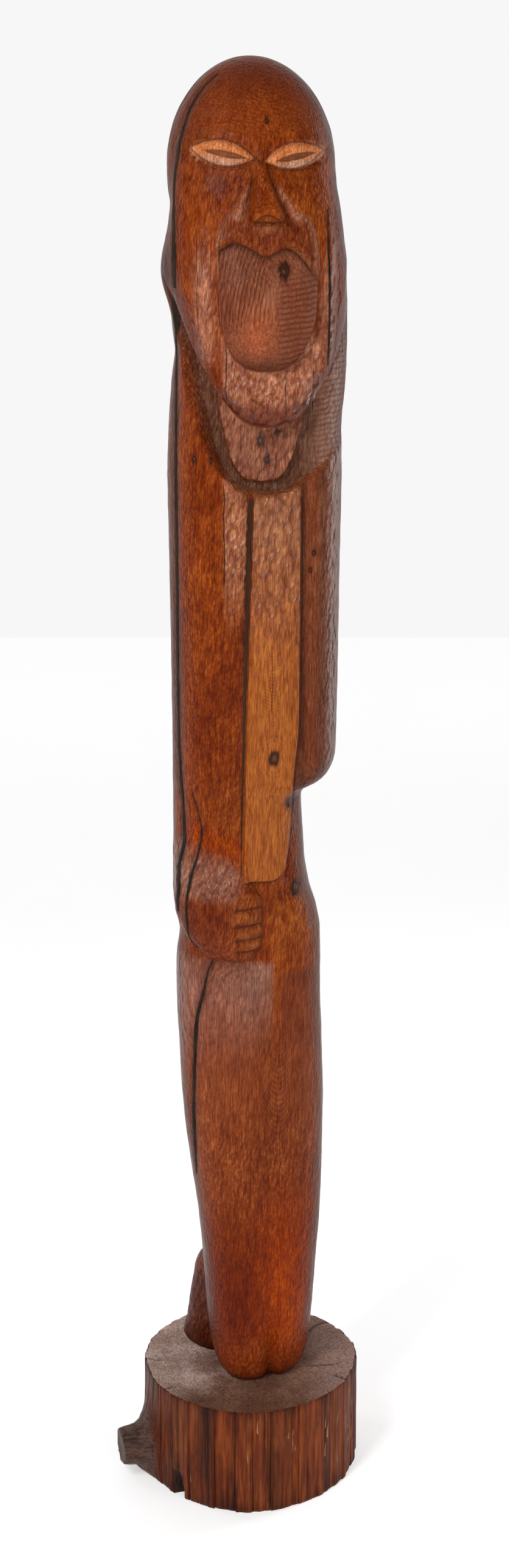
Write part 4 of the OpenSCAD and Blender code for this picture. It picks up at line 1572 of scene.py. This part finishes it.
rim_dark = span(place["Z"] + streak * 0.05, 0.150, 0.172, 0.0, 0.7)
side_colour = shade(rim_dark, side_colour, (0.44, 0.37, 0.34))
side_colour = shade(span(place["X"], -0.050, -0.120, 0.0, 0.75), side_colour, (0.46, 0.42, 0.42))
# painted shade towards the foot of the stump, near the floor
foot_dark = span(place["Z"] + smudge * 0.05, 0.05, 0.02, 0.0, 0.6)
side_colour = shade(foot_dark, side_colour, (0.50, 0.42, 0.38))
colour = mix(stub_share, side_colour, stub_colour)
colour = mix(top_share, colour, top_colour)
colour = mix(dark_share, colour, (0.018, 0.011, 0.009))
feed(shader, {"Base Color": colour})
rough = span(fine, 0.3, 0.7, 0.42, 0.6) + top_share * 0.1
feed(shader, {"Roughness": rough, "Specular IOR Level": 0.12, "Coat Weight": 0.02, "Coat Roughness": 0.3})
height = fine * 0.9 + streak * 1.4
height -= split_line * 0.8
stub_height = stub_ring * (on_end * 0.5) + stub_grain * 1.6
height = mix_heights(stub_share, height, stub_height)
end_grain = late * 0.3 + speckle * 1.3
end_grain += grit * 0.5
height = mix_heights(top_share, height, end_grain)
feed(shader, {"Normal": bump(height, 0.001)})
stump.data.materials.clear()
stump.data.materials.append(stump_wood)

# %% Dark filler, strip wood, dowel wood and plated steel
def fibre_material(name, light, dark, rough_low, rough_high, scale, coat):
    material, shader = new_material(name)
    threads = grain(scale, 4, 0.6)
    blotch = grain((40, 40, 14), 3)
    share = span(threads, 0.35, 0.7) * span(blotch, 0.3, 0.7, 0.6, 1.0)
    feed(shader, {"Base Color": mix(share, light, dark), "Specular IOR Level": 0.06, "Coat Weight": coat,
                  "Roughness": span(threads, 0.3, 0.7, rough_low, rough_high),
                  "Normal": bump(threads, 0.0005)})
    return material


filler = fibre_material("dark_packed_filler", (0.030, 0.017, 0.013), (0.008, 0.005, 0.004),
                        0.55, 0.75, (300, 300, 40), 0.0)
strip_wood = fibre_material("dark_strip_wood", (0.055, 0.024, 0.013), (0.022, 0.010, 0.006),
                            0.5, 0.62, (420, 420, 14), 0.02)
dowel_wood = fibre_material("beech_dowel_wood", (0.55, 0.36, 0.20), (0.36, 0.21, 0.11),
                            0.5, 0.65, (500, 500, 20), 0.0)

steel, shader = new_material("zinc_plated_steel")
spangle = cells(stretched((420, 420, 420)))
feed(shader, {"Base Color": mix(span(spangle, 0.1, 0.7), (0.62, 0.63, 0.65), (0.42, 0.43, 0.45)),
              "Roughness": span(spangle, 0.1, 0.8, 0.28, 0.46),
              "Normal": bump(spangle, 0.00004), "Metallic": 1.0})

for piece in strips[:4]:
    piece.data.materials.append(filler)
strips[4].data.materials.append(strip_wood)
screws = set_copies("coach_screws", coach_screw(), screw_places, [0.3, 1.2, 0.8], steel, 1.0)
washers = set_copies("plain_washers", washer_shape(), screw_places, [0, 0, 0], steel)
slivers = set_copies("stump_slivers", sliver_shape(), sliver_places, sliver_turns, stump_wood,
                     0.0, (0.5, 1.1), 9)
for name in ("top_share", "stub_share", "dark_share"):
    paint(slivers, name, np.zeros(len(slivers.data.vertices)))
paint(slivers, "torn_share", np.ones(len(slivers.data.vertices)))


def finish_node(node, material):
    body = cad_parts[node]
    body = body if hasattr(body, "data") else bpy.data.objects[node]
    body.data.materials.clear()
    body.data.materials.append(material)


finish_node("base_dowel", dowel_wood)

# %% [markdown]
# ## Camera, light and floor
#
# The figure is as tall as a person, so the camera stands at eye height and looks slightly
# down. A white studio and four soft lamps give the light that shows up the chip marks.

# %% Camera, light and floor
EYE_LEVEL = 1.6
LOOK_DOWN = 14.57
cam_data = bpy.data.cameras.new("camera")
cam_data.lens = 48.45
cam_data.sensor_width = 36
cam = bpy.data.objects.new("camera", cam_data)
cam.location = (0.006, -2.55, EYE_LEVEL)
cam.rotation_euler = (math.radians(90 - LOOK_DOWN), 0, 0)
bpy.context.scene.collection.objects.link(cam)
bpy.context.scene.camera = cam
bpy.context.scene.view_settings.view_transform = "Standard"

world = bpy.data.worlds.new("studio")
world.use_nodes = True
tree = world.node_tree
direction = axes(wire("ShaderNodeTexCoord", out="Generated"))
backdrop = span(direction["Y"], 0.35, 0.80, 0.34, 0.93)
feed(tree.nodes["Background"], {0: (1, 1, 1, 1), 1: backdrop})
bpy.context.scene.world = world


def soft_light(name, place, aim, size, power):
    data = bpy.data.lights.new(name, "AREA")
    data.shape = "RECTANGLE"
    data.size, data.size_y = size
    data.energy = power
    lamp = bpy.data.objects.new(name, data)
    lamp.location = place
    way = Vector(aim) - Vector(place)
    lamp.rotation_euler = way.to_track_quat("-Z", "Y").to_euler()
    bpy.context.scene.collection.objects.link(lamp)


soft_light("key", (-1.3, -2.2, 2.9), (0, 0, 1.0), (0.7, 1.4), 54)
soft_light("low_fill", (0.9, -2.4, 0.9), (0, 0, 0.6), (0.6, 1.2), 8)
soft_light("right_strip", (1.9, 1.0, 1.5), (0, 0, 1.1), (0.6, 2.4), 22)
soft_light("left_strip", (-2.0, 1.0, 1.4), (0, 0, 1.1), (0.5, 2.4), 9)

floor_mesh = bpy.data.meshes.new("floor")
floor_mesh.from_pydata([(-6, -6, 0), (6, -6, 0), (6, 6, 0), (-6, 6, 0)], [], [(0, 1, 2, 3)])
floor = bpy.data.objects.new("floor", floor_mesh)
bpy.context.scene.collection.objects.link(floor)
floor_paint, shader = new_material("pale_floor")
mottle = grain((3, 3, 3), 2)
feed(shader, {"Base Color": mix(mottle, (0.84, 0.84, 0.84), (0.88, 0.88, 0.88))})
shader.inputs["Roughness"].default_value = 0.9
shader.inputs["Specular IOR Level"].default_value = 0.1
shader.inputs["Emission Color"].default_value = (1, 1, 1, 1)
away = vector("LENGTH", object_space())
feed(shader, {"Emission Strength": span(away, 0.8, 5.0, 0.40, 0.58)})
floor_mesh.materials.append(floor_paint)

# %% Set every piece under the root body and hide the frame part it stands for
PIECES = [
    (figure, "carved_figure", "figure_wood"),
    (stump, "stump_base", "stump_wood"),
    (strips[0], "side_check_filler", "dark_filler"),
    (strips[1], "hip_check_filler", "dark_filler"),
    (strips[2], "thigh_check_filler", "dark_filler"),
    (strips[3], "cheek_check_filler", "dark_filler"),
    (strips[4], "chest_spline", "spline_wood"),
    (screws, "lag_screws", "zinc_steel"),
    (washers, "washers", "zinc_steel"),
    (slivers, "stump_base", "stump_wood"),
]
for piece, node, slot in PIECES:
    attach(piece, "root")
    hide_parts(node)
